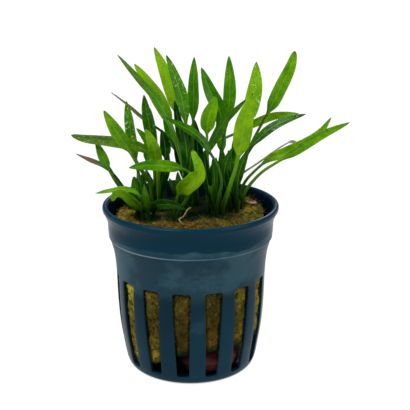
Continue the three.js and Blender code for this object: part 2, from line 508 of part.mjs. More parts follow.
// A leaf along a smooth line through its points: the rings of its stalk and blade, closed at both ends.
function leafGeometry(base, leaf) {
  const straight = new THREE.Vector3(0, 0, CROWN.straight);
  const line = new THREE.CatmullRomCurve3(
    [base, base.clone().add(straight), ...leaf.by, leaf.tip].map((p) => new THREE.Vector3(...p)),
    false,
    "centripetal",
  );
  const bladeStart = 1 - leaf.blade;
  const onStalk = leaf.young ? STATIONS.youngStalk : STATIONS.stalk;
  const onBlade = leaf.young ? STATIONS.youngBlade : STATIONS.blade;
  const shares = [
    ...Array.from({ length: onStalk }, (_, i) => (bladeStart * i) / onStalk),
    ...Array.from({ length: onBlade + 1 }, (_, i) => bladeStart + (leaf.blade * i) / onBlade),
  ];
  const rings = shares.map((share) => {
    const middle = line.getPointAt(share);
    const tangent = line.getTangentAt(share);
    const side = new THREE.Vector3().crossVectors(tangent, VIEW).normalize();
    side.applyAxisAngle(tangent, radians(leaf.turn));
    const face = new THREE.Vector3().crossVectors(side, tangent);
    return leafSection(share, leaf, line.getLength()).map(([across, up]) =>
      middle.clone().addScaledVector(side, across).addScaledVector(face, up),
    );
  });
  return lofted(line.getPointAt(0), rings, line.getPointAt(1));
}

// One crown with its leaves, in a group that stands in the wool. The young leaves are fused to the crown.
function crownWithLeaves(name) {
  const [x, y] = CROWNS[name];
  const group = new THREE.Group();
  group.position.set(x, y, crownHeight(x, y));
  const moved = ([px, py, pz]) => [px - x, py - y, pz - group.position.z];
  const shaped = (leaf, ring, height) => {
    const angle = radians(leaf.at);
    const base = new THREE.Vector3(ring * Math.sin(angle), -ring * Math.cos(angle), height);
    return leafGeometry(base, { ...leaf, by: leaf.by.map(moved), tip: moved(leaf.tip) });
  };
  const crown = YOUNG[name].reduce(
    (solid, leaf) => solid.add(solidOf(shaped({ ...leaf, young: true }, CROWN.youngRing, CROWN.youngBase))),
    solidOf(crownBody()),
  );
  group.add(meshOf(`crown_${name}`, geometryOf(crown), MATERIALS.crown));
  LEAVES[name].forEach((leaf, i) => {
    const title = leaf.withered ? "dead_leaf" : `leaf_${name}_${i + 1}`;
    const material = leaf.withered ? MATERIALS.dead_leaf : MATERIALS.leaf;
    group.add(meshOf(title, shaped(leaf, CROWN.ring, GAP), material));
  });
  return group;
}

function looseRoot() {
  const line = new THREE.CatmullRomCurve3(ROOT_ROUTE.map((p) => new THREE.Vector3(...p)));
  const outline = new THREE.Shape();
  outline.absarc(0, 0, ROOT_RADIUS, 0, 2 * Math.PI);
  const root = new THREE.ExtrudeGeometry(outline, { steps: 12, curveSegments: 3, extrudePath: line });
  return meshOf("loose_root", root, MATERIALS.root);
}

// A dry scrap on the wool's right mound.
function dryFlake() {
  const { x, y, length, width, thickness, lift, tilt, heading } = FLAKE;
  const outline = new THREE.Shape([
    new THREE.Vector2(-0.5 * length, -0.1 * width), new THREE.Vector2(-0.2 * length, -0.5 * width),
    new THREE.Vector2(0.3 * length, -0.35 * width), new THREE.Vector2(0.5 * length, 0.15 * width),
    new THREE.Vector2(0.1 * length, 0.5 * width), new THREE.Vector2(-0.3 * length, 0.35 * width),
  ]);
  const flake = new THREE.ExtrudeGeometry(outline, { depth: thickness, bevelEnabled: false });
  const mesh = meshOf("dry_flake", flake, MATERIALS.flake);
  mesh.rotation.set(radians(tilt), 0, radians(heading));
  mesh.position.set(x, y, woolTop(x, y) + lift);
  return mesh;
}

const plant = new THREE.Group();
plant.add(...Object.keys(CROWNS).map(crownWithLeaves), looseRoot());

const potted = new THREE.Group();
potted.add(netPot(), woolPlug(), clayLump(), dryFlake(), plant);

export default potted;
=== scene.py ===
"""Looks of a potted dwarf water plant: a slotted net pot, a plug of damp mineral wool with red clay under it,
and crowns of wet, stalked leaves. Lengths here are millimetres in the part's own frame, turned into metres
where a mesh is made. -Y is the front."""

import math
import random

import bmesh
import bpy
import numpy as np
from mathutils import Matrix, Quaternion, Vector, noise


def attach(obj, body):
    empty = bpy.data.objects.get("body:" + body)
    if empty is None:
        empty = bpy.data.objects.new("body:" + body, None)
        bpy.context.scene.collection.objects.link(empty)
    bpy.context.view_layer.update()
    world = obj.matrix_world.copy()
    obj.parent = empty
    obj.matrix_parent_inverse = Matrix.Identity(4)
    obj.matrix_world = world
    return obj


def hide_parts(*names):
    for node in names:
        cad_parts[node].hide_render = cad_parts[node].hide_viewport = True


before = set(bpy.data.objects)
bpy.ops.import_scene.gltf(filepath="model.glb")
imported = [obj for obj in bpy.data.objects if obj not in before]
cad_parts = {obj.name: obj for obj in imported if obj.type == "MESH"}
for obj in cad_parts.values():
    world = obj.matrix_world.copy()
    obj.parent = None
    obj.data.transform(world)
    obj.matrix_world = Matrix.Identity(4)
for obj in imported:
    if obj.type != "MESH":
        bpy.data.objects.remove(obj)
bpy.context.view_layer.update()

MM = 0.001

# Camera of the photograph
PHOTO_PIXELS = 410
FOCAL_PIXELS = 943
SENSOR_MM = 36
CAMERA_DISTANCE = 300
CAMERA_ELEVATION = 17  # degrees over the horizon
CAMERA_TARGET = (4.57, 0, 52.75)

# Driving dimensions, the same as the solid model's
FLOOR_TOP = 1.4
SLOT_COUNT = 15
SLOT_PHASE = -6.1
SLOT_BOTTOM, SLOT_TOP = 2.6, 31.7
SLOT_WIDTH_BOTTOM, SLOT_WIDTH_TOP = 3.8, 5.8
SLOT_CORNER = 0.9
DRAIN_COUNT = 10
DRAIN_FROM, DRAIN_TO, DRAIN_WIDTH = 7, 15, 2.6
POT_OUTSIDE = [
    (18.6, 0), (20.2, 0.5), (21.1, 2.2), (22.2, 8), (23.1, 14), (23.7, 22), (24.1, 34), (24.7, 39),
    (25.2, 41), (25.8, 43.2), (26.2, 44.6), (26.5, 48.8), (27.4, 51.2), (28, 52.4), (27.8, 53.4), (27, 53.7),
    (26.2, 53.1),
]
POT_INSIDE = [
    (26.2, 53.1), (25.5, 50.6), (24.9, 43.8), (23.8, 40.2), (23.2, 33), (22.8, 22), (22.2, 14), (21.3, 8),
    (20.2, 3), (18.6, FLOOR_TOP),
]
LIP_RADIUS = 27.99  # the rounded lip goes no further out
BEAD_HEIGHT, BEAD_RISE, BEAD_SPREAD = 43.5, 0.24, 0.17  # thin raised line round the foot of the band

WOOL_SIDE = 0.6
WOOL_TOP_RADIUS = 23.2
WOOL_LUMP = 0.16
WOOL_LEVEL = 50.6
WOOL_EDGE_DROP = 0.8
WOOL_REACH = 20  # radius at which the side's lower end and tufts are read
TUFT_RISE, TUFT_LEVEL, SIDE_TUFTS = 0.8, 50, 0.8
SLOT_BULGE = 0.75
TOP_FIBRE_REACH, SIDE_FIBRE_HEIGHTS = 22.6, (4, 46)
WOOL_MOUNDS = [
    # x, y, height, spread
    (17.9, 4, 3.2, 3.9),
    (1.7, -20, 1.3, 7),
    (-18.3, -7, 0.9, 5),
    (-0.3, 21, -1.3, 9),
    (15.7, -10, -0.7, 3),
]
# Coloured patches of the wool's side: degrees round from the front, height, spread in degrees, spread in
# millimetres, how yellow and how brown
WOOL_PATCHES = [
    (-54, 29, 9, 5, 1, 0),
    (-55, 14, 9, 9, 0.08, 0),
    (-30, 21, 9, 8, 0, 0.75),
    (-32, 8, 8, 4, 0.35, 0),
    (-6, 18, 9, 14, 0, 0.95),
    (18, 22, 9, 12, 0, 0.9),
    (20, 9, 7, 3, 0.15, 0),
    (42, 20, 9, 12, 0.1, 0.5),
    (66, 20, 9, 14, 0.2, 0),
]
MOUND_PALE = (18.2, 0, 6)  # where the wool's top is pale and yellow, and mostly left out of the painted shade: x, y, spread
# Orange-brown patches of the wool's top: x, y, spread
WOOL_STAINS = [(2, -19.5, 2.6), (9, -21, 2.2), (-8, -17, 1.8), (13, -14, 1.8), (-17, -12, 1.6)]
CLAY_X, CLAY_Y, CLAY_RADIUS, CLAY_TOP = 5.5, -8, 11, 10.2

CROWN_RING, CROWN_SHOULDER, CROWN_DEPTH, CROWN_STRAIGHT = 2.6, 3.2, 6, 3.2
CROWN_SINK = 2.2  # a crown's shoulder is this far below the wool's top
CROWN_HEART = [(1.35, 0.1), (1.3, 2.4), (0.9, 4), (0.45, 5.2), (0.08, 5.7)]
YOUNG_RING, YOUNG_BASE = 0.8, 0.9
LEAF_SHADE = 13  # height over the crown where a leaf is out of the painted shade at the plant's foot
GAP = 0.3
STALK_BASE, STALK_END = 0.62, 0.42
SHEATH_WIDEN, SHEATH_LENGTH = 0.18, 10  # the foot of a stalk is this much broader, and for this long
STALK_SHARES = {"withered": 0.6, "stout": 1.3, "young": 0.7}
BLADE_RIB, BLADE_EDGE, BLADE_FOLD = 0.2, 0.07, 0.2
BLADE_POINTED, BLADE_BLUNT = 0.65, 0.4
WAIST, WAIST_FROM, WAIST_TO = 0.3, 0.56, 0.68  # how much narrower a waisted blade gets, and where
VIEW = Vector((0, -1, 0.3)).normalized()

CROWNS = {
    "front_left": (-13.8, -8),
    "mid_left": (-10.3, 3),
    "left": (-17.3, 6),
    "front_mid": (-2.3, -6),
    "back_mid": (-0.3, 9),
    "right_mid": (7.7, -2),
    "right": (14.2, 0.5),
    "back_right": (10.2, 10),
}

# Per crown, each leaf: degrees round the crown, points of its middle, tip, blade width, blade's share of the
# length, turn, tone from 0, dark, to 1, bright, partly the leaf's own green and partly painted shade deep in
# the plant, and words for a kind of stalk, waist or tip.
LEAVES = {
    "front_left": [
        (285, [(-14.6, -10.5, 57.2), (-16.4, -11.5, 60.2), (-19.7, -12, 61.3), (-24.1, -12.5, 61)],
          (-28.7, -12, 60.1), 2.6, 0.62, 50, 0.6, "stout"),
        (335, [(-15.3, -12, 55.2), (-18, -13.3, 58.4), (-20.3, -14, 60.6), (-22.2, -14.5, 60.8)],
          (-23.6, -15, 58.4), 3.2, 0.78, -20, 0.6, "blunt"),
        (220, [(-16.9, -6.5, 58)], (-17.3, -6, 63.8), 2.5, 0.62, 0, 0.3, "blunt"),
        (25, [(-13.2, -11, 56.1), (-13.6, -11.5, 59.4)], (-14, -11.5, 62.8), 2.4, 0.75, 10, 0.45),
        (80, [(-10.3, -12.5, 56.4), (-7.8, -14, 57.3), (-4.8, -15.5, 57.5)], (-1.2, -16.5, 56.4), 3.3,
          0.72, 20, 0.22),
    ],
    "mid_left": [
        (10, [(-10, -2.5, 60.1), (-10.1, -5, 66.2), (-11.1, -7, 73.1)], (-13.4, -8, 79.3), 3.9, 0.47, 0,
          0.7, "stout"),
        (315, [(-12.8, 0, 60), (-15.1, -2.5, 64.6), (-19.1, -5, 72.5), (-22.2, -6, 77.7)],
          (-26, -6.5, 84.6), 4, 0.4, 5, 0.66, "stout"),
        (270, [(-11.4, 1.5, 61.2), (-12.3, 1, 67.3), (-14.8, 0, 71.1), (-19.1, -0.5, 72.8),
          (-26.3, -0.5, 73.9), (-33, -1, 74.7)], (-36.9, -1, 75.7), 3.7, 0.58, -15, 0.55, "blunt"),
        (65, [(-11.1, 3.5, 61.7), (-12.1, 4.5, 72.9), (-13.7, 5, 81.5)], (-14.5, 5, 87.3), 4.1, 0.43, -20,
          0.2),
        (110, [(-8.6, 5.5, 59.5), (-8.1, 6.5, 69.1)], (-9.2, 7, 75.7), 3.5, 0.36, 10, 0.12),
        (225, [(-11.4, 9, 58.5), (-12.6, 15, 70.4)], (-13.5, 18, 80.5), 3.2, 0.5, 0, 0.4),
        (180, [(-9.7, 7.5, 58.3), (-10.7, 8, 65.5), (-12.8, 8.5, 69.7), (-15, 9, 73)], (-17.4, 9, 75.7),
          2.6, 0.35, 20, 0.6),
    ],
    "left": [
        (60, [(-15.9, 4, 58.6), (-16.8, 3.5, 63.1), (-18.4, 2.5, 73.3), (-19, 2, 79.5)], (-19.8, 2, 85.9),
          3.6, 0.42, -20, 0.55),
        (310, [(-19, 3.2, 53.5), (-21.2, 1.5, 56.6), (-23.8, 0, 60.8), (-27.1, 0, 67.5)],
          (-29.7, 1.5, 73.3), 3, 0.36, 10, 0.5),
        (265, [(-19.3, 4.5, 54.7), (-21.4, 4, 57.2), (-24.1, 3.5, 61.3), (-27, 3.5, 64.3),
          (-31.9, 3.5, 66.5)], (-36.4, 4, 68.5), 2.2, 0.5, 45, 0.2),
        (215, [(-17.2, 9, 60.2), (-18.9, 13, 69.2)], (-20.2, 17, 78.4), 3, 0.5, 20, 0.4),
        (140, [(-14.8, 12, 59.4), (-14.6, 19, 66.1)], (-14.7, 23, 72.7), 3, 0.45, 10, 0.4),
    ],
    "front_mid": [
        (320, [(-1.3, -9.5, 57.3), (0, -10, 61.9), (-0.2, -10.3, 66.1), (-2.7, -10.8, 67.6),
          (-6.9, -11.4, 68.5), (-12, -12.2, 69)], (-18.3, -13, 68.4), 3.6, 0.47, -5, 0.5),
        (285, [(-4.3, -7.5, 55.7), (-3.6, -9.5, 58.9), (-1.2, -12.5, 62.3), (1.1, -13.5, 64.6),
          (2.8, -14, 67.2), (2.4, -14, 70), (1.5, -13.5, 72)], (0.8, -12.5, 73.8), 5.2, 0.66, 12, 0.72,
          "blunt", "waisted"),
        (200, [(-2, -2.5, 61.7), (-3, -1.5, 71.1), (-6.3, 0, 79), (-9.9, 1.5, 85.7), (-15.6, 3, 92)],
          (-22.4, 4, 99.9), 2.7, 0.55, 25, 0.4),
        (150, [(-0.5, -1, 62.9), (-1, 0, 75.5), (-2.6, 1.5, 86.9), (-4.9, 2, 93.9)], (-7.3, 2, 100.1),
          3.9, 0.44, 10, 0.42),
        (240, [(-1, -5, 62.4), (-1.1, -5, 71.9)], (-2.6, -4, 81.4), 3.6, 0.62, -15, 0.12),
    ],
    "back_mid": [
        (258, [(-2.3, 9, 60.2), (-5.1, 9.5, 71.4), (-7.3, 9.5, 79), (-10.4, 9.5, 85.5),
          (-14.1, 9.5, 91.3)], (-17.7, 10, 96.2), 4.6, 0.47, -10, 0.88),
        (300, [(-1.4, 6.8, 60.8), (-3.4, 6.8, 75.9), (-5.5, 6.8, 86), (-8.3, 6.5, 94.8)],
          (-11.2, 6.5, 101.9), 4.2, 0.43, 5, 0.78),
        (20, [(0.5, 8, 63.8), (0.8, 10, 79.8)], (1.2, 10.5, 98.3), 3.9, 0.42, -15, 0.45),
        (340, [(-1, 5, 62.3), (-2.9, 4.5, 72.9)], (-5, 4.5, 85.6), 3, 0.45, 20, 0.1),
        (190, [(-3.7, 17, 61.5)], (-9.3, 21, 79.9), 3.6, 0.45, -15, 0.4),
        (110, [(1.8, 12, 61.8), (6.7, 13, 69.3), (13.6, 13, 72.7), (19.7, 12.5, 76.2), (26.1, 12, 78.9),
          (30.3, 11.5, 79.7)], (34.7, 11, 80.1), 2.9, 0.38, 20, 0.78),
        (225, [(-2.3, 12, 60.4), (-5.2, 12.5, 68.7), (-8.1, 12.5, 72.7), (-11.6, 12.5, 75.5),
          (-16, 12, 78.6), (-20.5, 12, 82.7)], (-25.4, 12, 86.7), 2.3, 0.4, 55, 0.35),
    ],
    "right_mid": [
        (60, [(12, -5, 59.5), (14, -6, 66.5), (15.4, -7, 73.8), (16.6, -7.5, 81.8)], (18.8, -8, 90.1),
          5.7, 0.5, 5, 0.72, "stout"),
        (280, [(5.7, -2, 62.2), (5.2, -1, 71.6), (5.5, 0, 80.6), (6.8, 0.5, 84.3)], (7.9, 1, 87.5), 4.8,
          0.32, 10, 0.66),
        (10, [(8.8, -5.8, 57.1), (9.7, -6.3, 61.8), (8.6, -6.6, 67), (5.8, -6.6, 72), (3.3, -6.2, 75.6),
          (0.5, -6, 77.9), (-3.3, -5.6, 80)], (-7.4, -5.4, 82.2), 3.1, 0.45, 30, 0.33),
        (185, [(9, 4.1, 61.5), (10.8, 8, 73.7), (12.4, 9.5, 85.4), (12.4, 10, 93)], (12.1, 10, 98.7), 4.1,
          0.42, -10, 0.4),
        (235, [(5, 0.5, 61.5), (5.6, 1.5, 69.7), (7.9, 2, 74.8), (11, 2, 80.1), (14.2, 1.5, 83.3)],
          (17.2, 0.5, 86.7), 3.1, 0.55, 20, 0.4),
        (130, [(8.9, 3, 62.8), (10.4, 5.3, 75.3), (9, 6, 82.2), (6.1, 6.5, 88.2)], (3.4, 7, 95.5), 4.7,
          0.48, 10, 0.35),
    ],
    "right": [
        (10, [(14.7, -2, 59.6), (15.7, -2.5, 65.6)], (18.1, -3, 71.9), 2.9, 0.6, -5, 0.2),
        (60, [(17, -1.5, 57.3), (18.8, -2, 60.2), (22.2, -3, 64.3), (27.2, -4, 68), (32.6, -4.5, 71.6),
          (39.3, -5, 76.2)], (48.6, -5.5, 80.7), 3.1, 0.53, 10, 0.62),
        (235, [(12.6, 2.5, 56.7), (13.3, 2.8, 59.9), (16.3, 2.9, 62.3), (21.1, 2.6, 65.7),
          (26.9, 2, 70.2), (31.4, 1.5, 73)], (33.9, 1.5, 72.6), 1, 0.1, 0, 0, "withered"),
        (105, [(15.7, 1, 56.1), (17.4, 0.3, 60.6), (20.9, -0.3, 64.7), (24.9, -0.7, 68.2),
          (28.9, -1, 69.9), (35.6, -1, 73.1), (40.4, -1, 76.8)], (43.5, -1, 81.3), 3.3, 0.62, 0, 0.66),
        (195, [(14.4, 4.8, 58), (17, 5, 65.9), (20.1, 5.5, 71.2), (24.6, 5.5, 75.8), (30.2, 5.5, 79)],
          (36.4, 5.5, 81), 3.2, 0.5, -30, 0.15),
        (320, [(10.5, -3, 62.5), (11.4, -3.2, 68.3)], (13.2, -3.5, 72.5), 2.6, 0.6, -10, 0.15),
    ],
    "back_right": [
        (20, [(13, 7, 60.7), (16.1, 7, 71.3), (19.5, 7, 84.2), (20.5, 7, 90.6)], (20.6, 7.5, 97.2), 5.1,
          0.42, -10, 0.78),
        (70, [(14.4, 10, 58.9), (20.6, 9.5, 72.8), (24.9, 9, 81.3), (28.4, 9, 88.7), (31.4, 9, 95.3)],
          (32.7, 9, 100.3), 4.2, 0.4, 10, 0.6, "blunt"),
        (110, [(14.8, 15, 62)], (19.6, 19, 84.6), 3.2, 0.5, 20, 0.4),
        (185, [(13.2, 16, 61.7)], (17.6, 22, 76.3), 3.6, 0.45, 15, 0.4),
        (230, [(10.2, 16, 61.7)], (9.2, 23, 78.2), 3.4, 0.45, -5, 0.4),
    ],
}
# Young leaves, given the same way. They grow out of a crown's heart, and their mostly low tones are partly
# painted shade in the plant's dark heart.
YOUNG = {
    "front_left": [
        (60, [(-12.8, -9.2, 55.6), (-12.4, -9.6, 57.3)], (-12.6, -10, 59.2), 2.6, 0.85, 10, 0.45),
        (300, [(-14.9, -7.9, 55.8), (-16, -7.7, 57.7)], (-17.2, -7.6, 60.2), 2, 0.7, 0, 0.15),
    ],
    "mid_left": [
        (100, [(-9.6, 4.2, 57.2), (-8, 4.1, 62.5)], (-7, 4, 69.1), 2.9, 0.75, 0, 0.08),
        (350, [(-9.7, 1.1, 57.4), (-9, 0.8, 60.8)], (-8.6, 0.6, 65.1), 2.1, 0.8, 10, 0.1),
        (240, [(-11.6, 4.4, 56.4), (-13, 4.9, 59.6)], (-13.9, 5.2, 62.6), 2.3, 0.8, -10, 0.1),
    ],
    "left": [
        (90, [(-16.6, 6.8, 55.8), (-15.8, 7.6, 58.9)], (-15.4, 8.2, 61.9), 2.3, 0.75, 0, 0.12),
    ],
    "front_mid": [
        (40, [(-0.4, -7.2, 57.2), (1.2, -7.8, 60.6)], (2.6, -8.2, 64.5), 2.5, 0.75, 20, 0.08),
        (350, [(-2.7, -7.3, 57.9), (-3.3, -7.7, 61.2)], (-3.8, -7.9, 65.9), 3, 0.75, -10, 0.12),
        (250, [(-2.9, -6.5, 57), (-4.6, -6.5, 59.6)], (-6.5, -6.4, 63.4), 2.6, 0.75, -10, 0.14),
        (100, [(-0.7, -5.4, 57.3), (1.6, -5, 61.7)], (2.7, -4.8, 69), 3.2, 0.75, 0, 0.06),
        (20, [(-1.5, -6.8, 59.7), (-0.2, -7.5, 66.3)], (0.3, -7.5, 73.8), 3.1, 0.7, 5, 0.08),
    ],
    "back_mid": [
        (75, [(1.2, 10.4, 59.8), (2.2, 11.4, 68)], (1.2, 12, 77.9), 3.7, 0.7, 0, 0.06),
        (330, [(-1.1, 8.5, 60.3), (-1.6, 8.9, 68.6)], (-2, 9.2, 76.4), 3, 0.7, 10, 0.1),
        (240, [(-1.8, 10.5, 59.4), (-3.7, 10.8, 64.8)], (-5.5, 10.9, 71.1), 3.1, 0.7, 0, 0.08),
        (150, [(0, 11, 59.6), (-0.3, 13, 67.6)], (0.2, 14, 76), 3.2, 0.65, -10, 0.12),
    ],
    "right_mid": [
        (320, [(5.8, -3.6, 58.8), (4.9, -4.2, 64.7)], (4.4, -4.6, 71.5), 2.8, 0.75, 0, 0.1),
        (350, [(7.3, -3.6, 58.1), (7.5, -3.9, 63)], (7, -4, 69.2), 2.7, 0.75, -10, 0.3),
        (90, [(8.6, -1.8, 58.2), (8.6, -2, 63.2)], (8, -2.2, 68.7), 2.7, 0.75, 0, 0.2),
        (330, [(6.5, -3.8, 58.2), (6.3, -3.7, 62)], (6.4, -3.5, 66.8), 1.7, 0.6, 0, 0.5),
    ],
    "right": [
        (300, [(12.2, -0.4, 58.5), (10.7, -0.9, 64.5)], (9.5, -1.4, 72.2), 3.1, 0.7, -10, 0.14),
        (150, [(14.5, 1.1, 58.7), (15.4, 1, 63.3)], (16.1, 0.8, 68.3), 2.5, 0.75, 0, 0.12),
        (340, [(13.4, -0.6, 58.5), (12.7, -1, 64.5)], (11.8, -1, 71), 2.7, 0.7, 10, 0.22),
    ],
    "back_right": [
        (320, [(8.8, 9, 59.2), (8.5, 9, 62.5)], (8.1, 8.6, 66.3), 2, 0.7, 0, 0.1),
        (60, [(11.7, 9.4, 60.1), (13.6, 9.1, 65.2)], (14.5, 9, 71.2), 3, 0.75, 0, 0.1),
        (0, [(10.6, 8.5, 59.3), (11.4, 8.2, 63.4)], (11.8, 8, 67.3), 2.5, 0.7, 0, 0.12),
    ],
}

# Leaves with small white painted highlights of water glints on them, and how many
WET_GLINTS = {
    "leaf_back_right_1": 0.75, "leaf_left_1": 0.9, "leaf_front_mid_4": 0.45, "leaf_mid_left_3": 0.6,
    "leaf_mid_left_4": 0.2, "leaf_right_5": 0.3, "leaf_back_mid_2": 0.12,
}
# Leaves whose upper part has gone brown, and how much
WORN_ENDS = {"leaf_left_3": 0.9, "leaf_back_mid_7": 0.9, "leaf_front_mid_3": 0.2, "leaf_mid_left_3": 0.25}

ROOT_ROUTE = [
    (0.1, -9.3, 54.7), (-0.8, -11.5, 54.7), (-1.3, -13, 54.2), (-2.2, -15, 53.5), (-3.1, -15.7, 53.2),
    (-3, -17, 52.9), (-1.8, -19, 52.4),
]
ROOT_RADIUS = 0.25
FLAKE_X, FLAKE_Y, FLAKE_LENGTH, FLAKE_WIDTH, FLAKE_LIFT = 19.3, 0.6, 3.8, 1.5, 1
FLAKE_TILT, FLAKE_HEADING, FLAKE_HALF_THICKNESS = 30, -25, 0.06

FLOOR_RADIUS, FLOOR_DROP = 6, 0.0002  # metres
FLOOR_GLOW, WORLD_GLOW = 1.05, 0.15
# Name, place and size in metres, and watts
LIGHTS = [
    ("key", (-0.35, -0.3, 0.75), 0.5, 9.4),
    ("fill", (0.6, -0.35, 0.4), 0.5, 3.5),
    ("back", (0.1, 0.7, 0.6), 0.6, 5),
]
LIGHT_AIM = (0, 0, 0.05)

# Fineness of the meshes
POT_RIB_CELLS, POT_SLOT_CELLS = 4, 6
SLOT_CELLS = POT_RIB_CELLS + POT_SLOT_CELLS  # columns from one slot to the next
POT_COLUMNS = SLOT_COUNT * SLOT_CELLS
DRAIN_CELLS = POT_COLUMNS // DRAIN_COUNT  # columns from one drain hole to the next
DRAIN_FIRST, DRAIN_REACH = 45, 3  # column of a drain hole's middle, and columns from there to its edge
COLUMNS_MEET = 17.8  # radius where the floor's columns have turned into the wall's
OUTSIDE_STEPS, INSIDE_STEPS, CORNER_ROWS, SLOT_ROWS, DRAIN_ROWS = 7, 6, 6, 22, 7
BEAD_ROOM, BEAD_REACH, BEAD_ROWS = 0.6, 0.55, 15
POT_SHARP, POT_ROUNDING = 50, 0.22  # edges over this many degrees are rounded by this much
LEAF_ACROSS = (-1, -0.88, -0.66, -0.4, -0.18, -0.05, 0.05, 0.18, 0.4, 0.66, 0.88, 1)
STALK_ROWS, BLADE_ROWS = 14, 34
WOOL_SEGMENTS, WOOL_TOP_ROWS, WOOL_SIDE_ROWS, WOOL_BOTTOM_ROWS = 300, 46, 74, 16
TOP_FIBRES, SIDE_FIBRES = 3400, 2600
CROWN_SIDES, ROOT_SIDES, ROOT_STEPS = 28, 10, 12

FIBRE_SEED, PLANT_SEED = 11, 5
# Names of the meshes' shader values
WOOL_VALUES = ("shade_and_darkening", "yellow", "brown", "stain")
LEAF_VALUES = ("across", "along", "tone_and_shade", "low", "glint", "worn")


def smoothstep(value, low, high):
    t = np.clip((value - low) / (high - low), 0, 1)
    return t * t * (3 - 2 * t)


def blend(a, b, t):
    return a + (b - a) * t


def turns(count):
    """Evenly spaced angles of a full turn."""
    return [i * 2 * math.pi / count for i in range(count)]


# Meshes

def add_mesh(name, points, faces, material, attributes=None):
    """A smooth-shaded object from points in millimetres, with shader values per point. It rides on the only
    body."""
    mesh = bpy.data.meshes.new(name)
    mesh.from_pydata([tuple(np.asarray(p, float) * MM) for p in points], [], faces)
    for key, values in (attributes or {}).items():
        mesh.attributes.new(key, "FLOAT", "POINT").data.foreach_set("value", np.asarray(values, np.float32))
    mesh.shade_smooth()
    mesh.materials.append(material)
    piece = bpy.data.objects.new(name, mesh)
    bpy.context.scene.collection.objects.link(piece)
    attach(piece, "root")
    return piece


def ring(count):
    """The number of each place in a ring, with the next one's."""
    return [(i, (i + 1) % count) for i in range(count)]


def loft_faces(rows, count, first_pole, last_pole, start=0):
    """Faces between rings of `count` points that follow each other from index `start`, closed to a point at
    each end."""
    faces = []
    last = start + (rows - 1) * count
    for low in range(start, last, count):
        faces += [(low + i, low + j, low + count + j, low + count + i) for i, j in ring(count)]
    for i, j in ring(count):
        faces += [(first_pole, start + j, start + i), (last_pole, last + i, last + j)]
    return faces


def closed_loft(points, rows, count, first, last):
    """Adds the two end points of a loft to the points of its rings, and gives its faces."""
    points += [first, last]
    return loft_faces(rows, count, len(points) - 2, len(points) - 1)


def spline(points, steps):
    """A centripetal Catmull-Rom line through the points, with `steps` samples a stretch."""
    points = [np.asarray(p, float) for p in points]
    padded = [2 * points[0] - points[1], *points, 2 * points[-1] - points[-2]]
    line = []
    for p0, p1, p2, p3 in zip(padded, padded[1:], padded[2:], padded[3:]):
        stretches = ((p0, p1), (p1, p2), (p2, p3))
        d0, d1, d2 = (math.sqrt(max(np.linalg.norm(b - a), 1e-6)) for a, b in stretches)
        out_of = ((p1 - p0) / d0 - (p2 - p0) / (d0 + d1) + (p2 - p1) / d1) * d1
        into = ((p2 - p1) / d1 - (p3 - p1) / (d1 + d2) + (p3 - p2) / d2) * d1
        square, cube = 3 * (p2 - p1) - 2 * out_of - into, 2 * (p1 - p2) + out_of + into
        line += [p1 + out_of * t + square * t**2 + cube * t**3 for t in np.arange(steps) / steps]
    return np.array([*line, points[-1]])


def sample_line(line, shares):
    """Points and directions at shares of a line's length."""
    lengths = np.concatenate([[0], np.cumsum(np.linalg.norm(np.diff(line, axis=0), axis=1))])
    at = lambda s: np.array([np.interp(s * lengths[-1], lengths, line[:, k]) for k in range(line.shape[1])])
    step = 0.004
    places = [at(s) for s in shares]
    ways = [at(min(s + step, 1)) - at(max(s - step, 0)) for s in shares]
    return places, [Vector(way).normalized() for way in ways]


# Shader graphs

class Value:
    """An output of a material's node, which can be added to, taken from and multiplied."""

    def __init__(self, graph, socket):
        self.graph, self.socket = graph, socket

    def __add__(self, other):
        return self.graph.math("ADD", self, other)

    def __sub__(self, other):
        return self.graph.math("SUBTRACT", self, other)

    def __mul__(self, other):
        return self.graph.math("MULTIPLY", self, other)


def colour(*steps):
    """A colour given in the 0 to 255 steps of a screen."""
    linear = [c / 255 / 12.92 if c < 10.3 else ((c / 255 + 0.055) / 1.055) ** 2.4 for c in steps]
    return (*linear, 1)


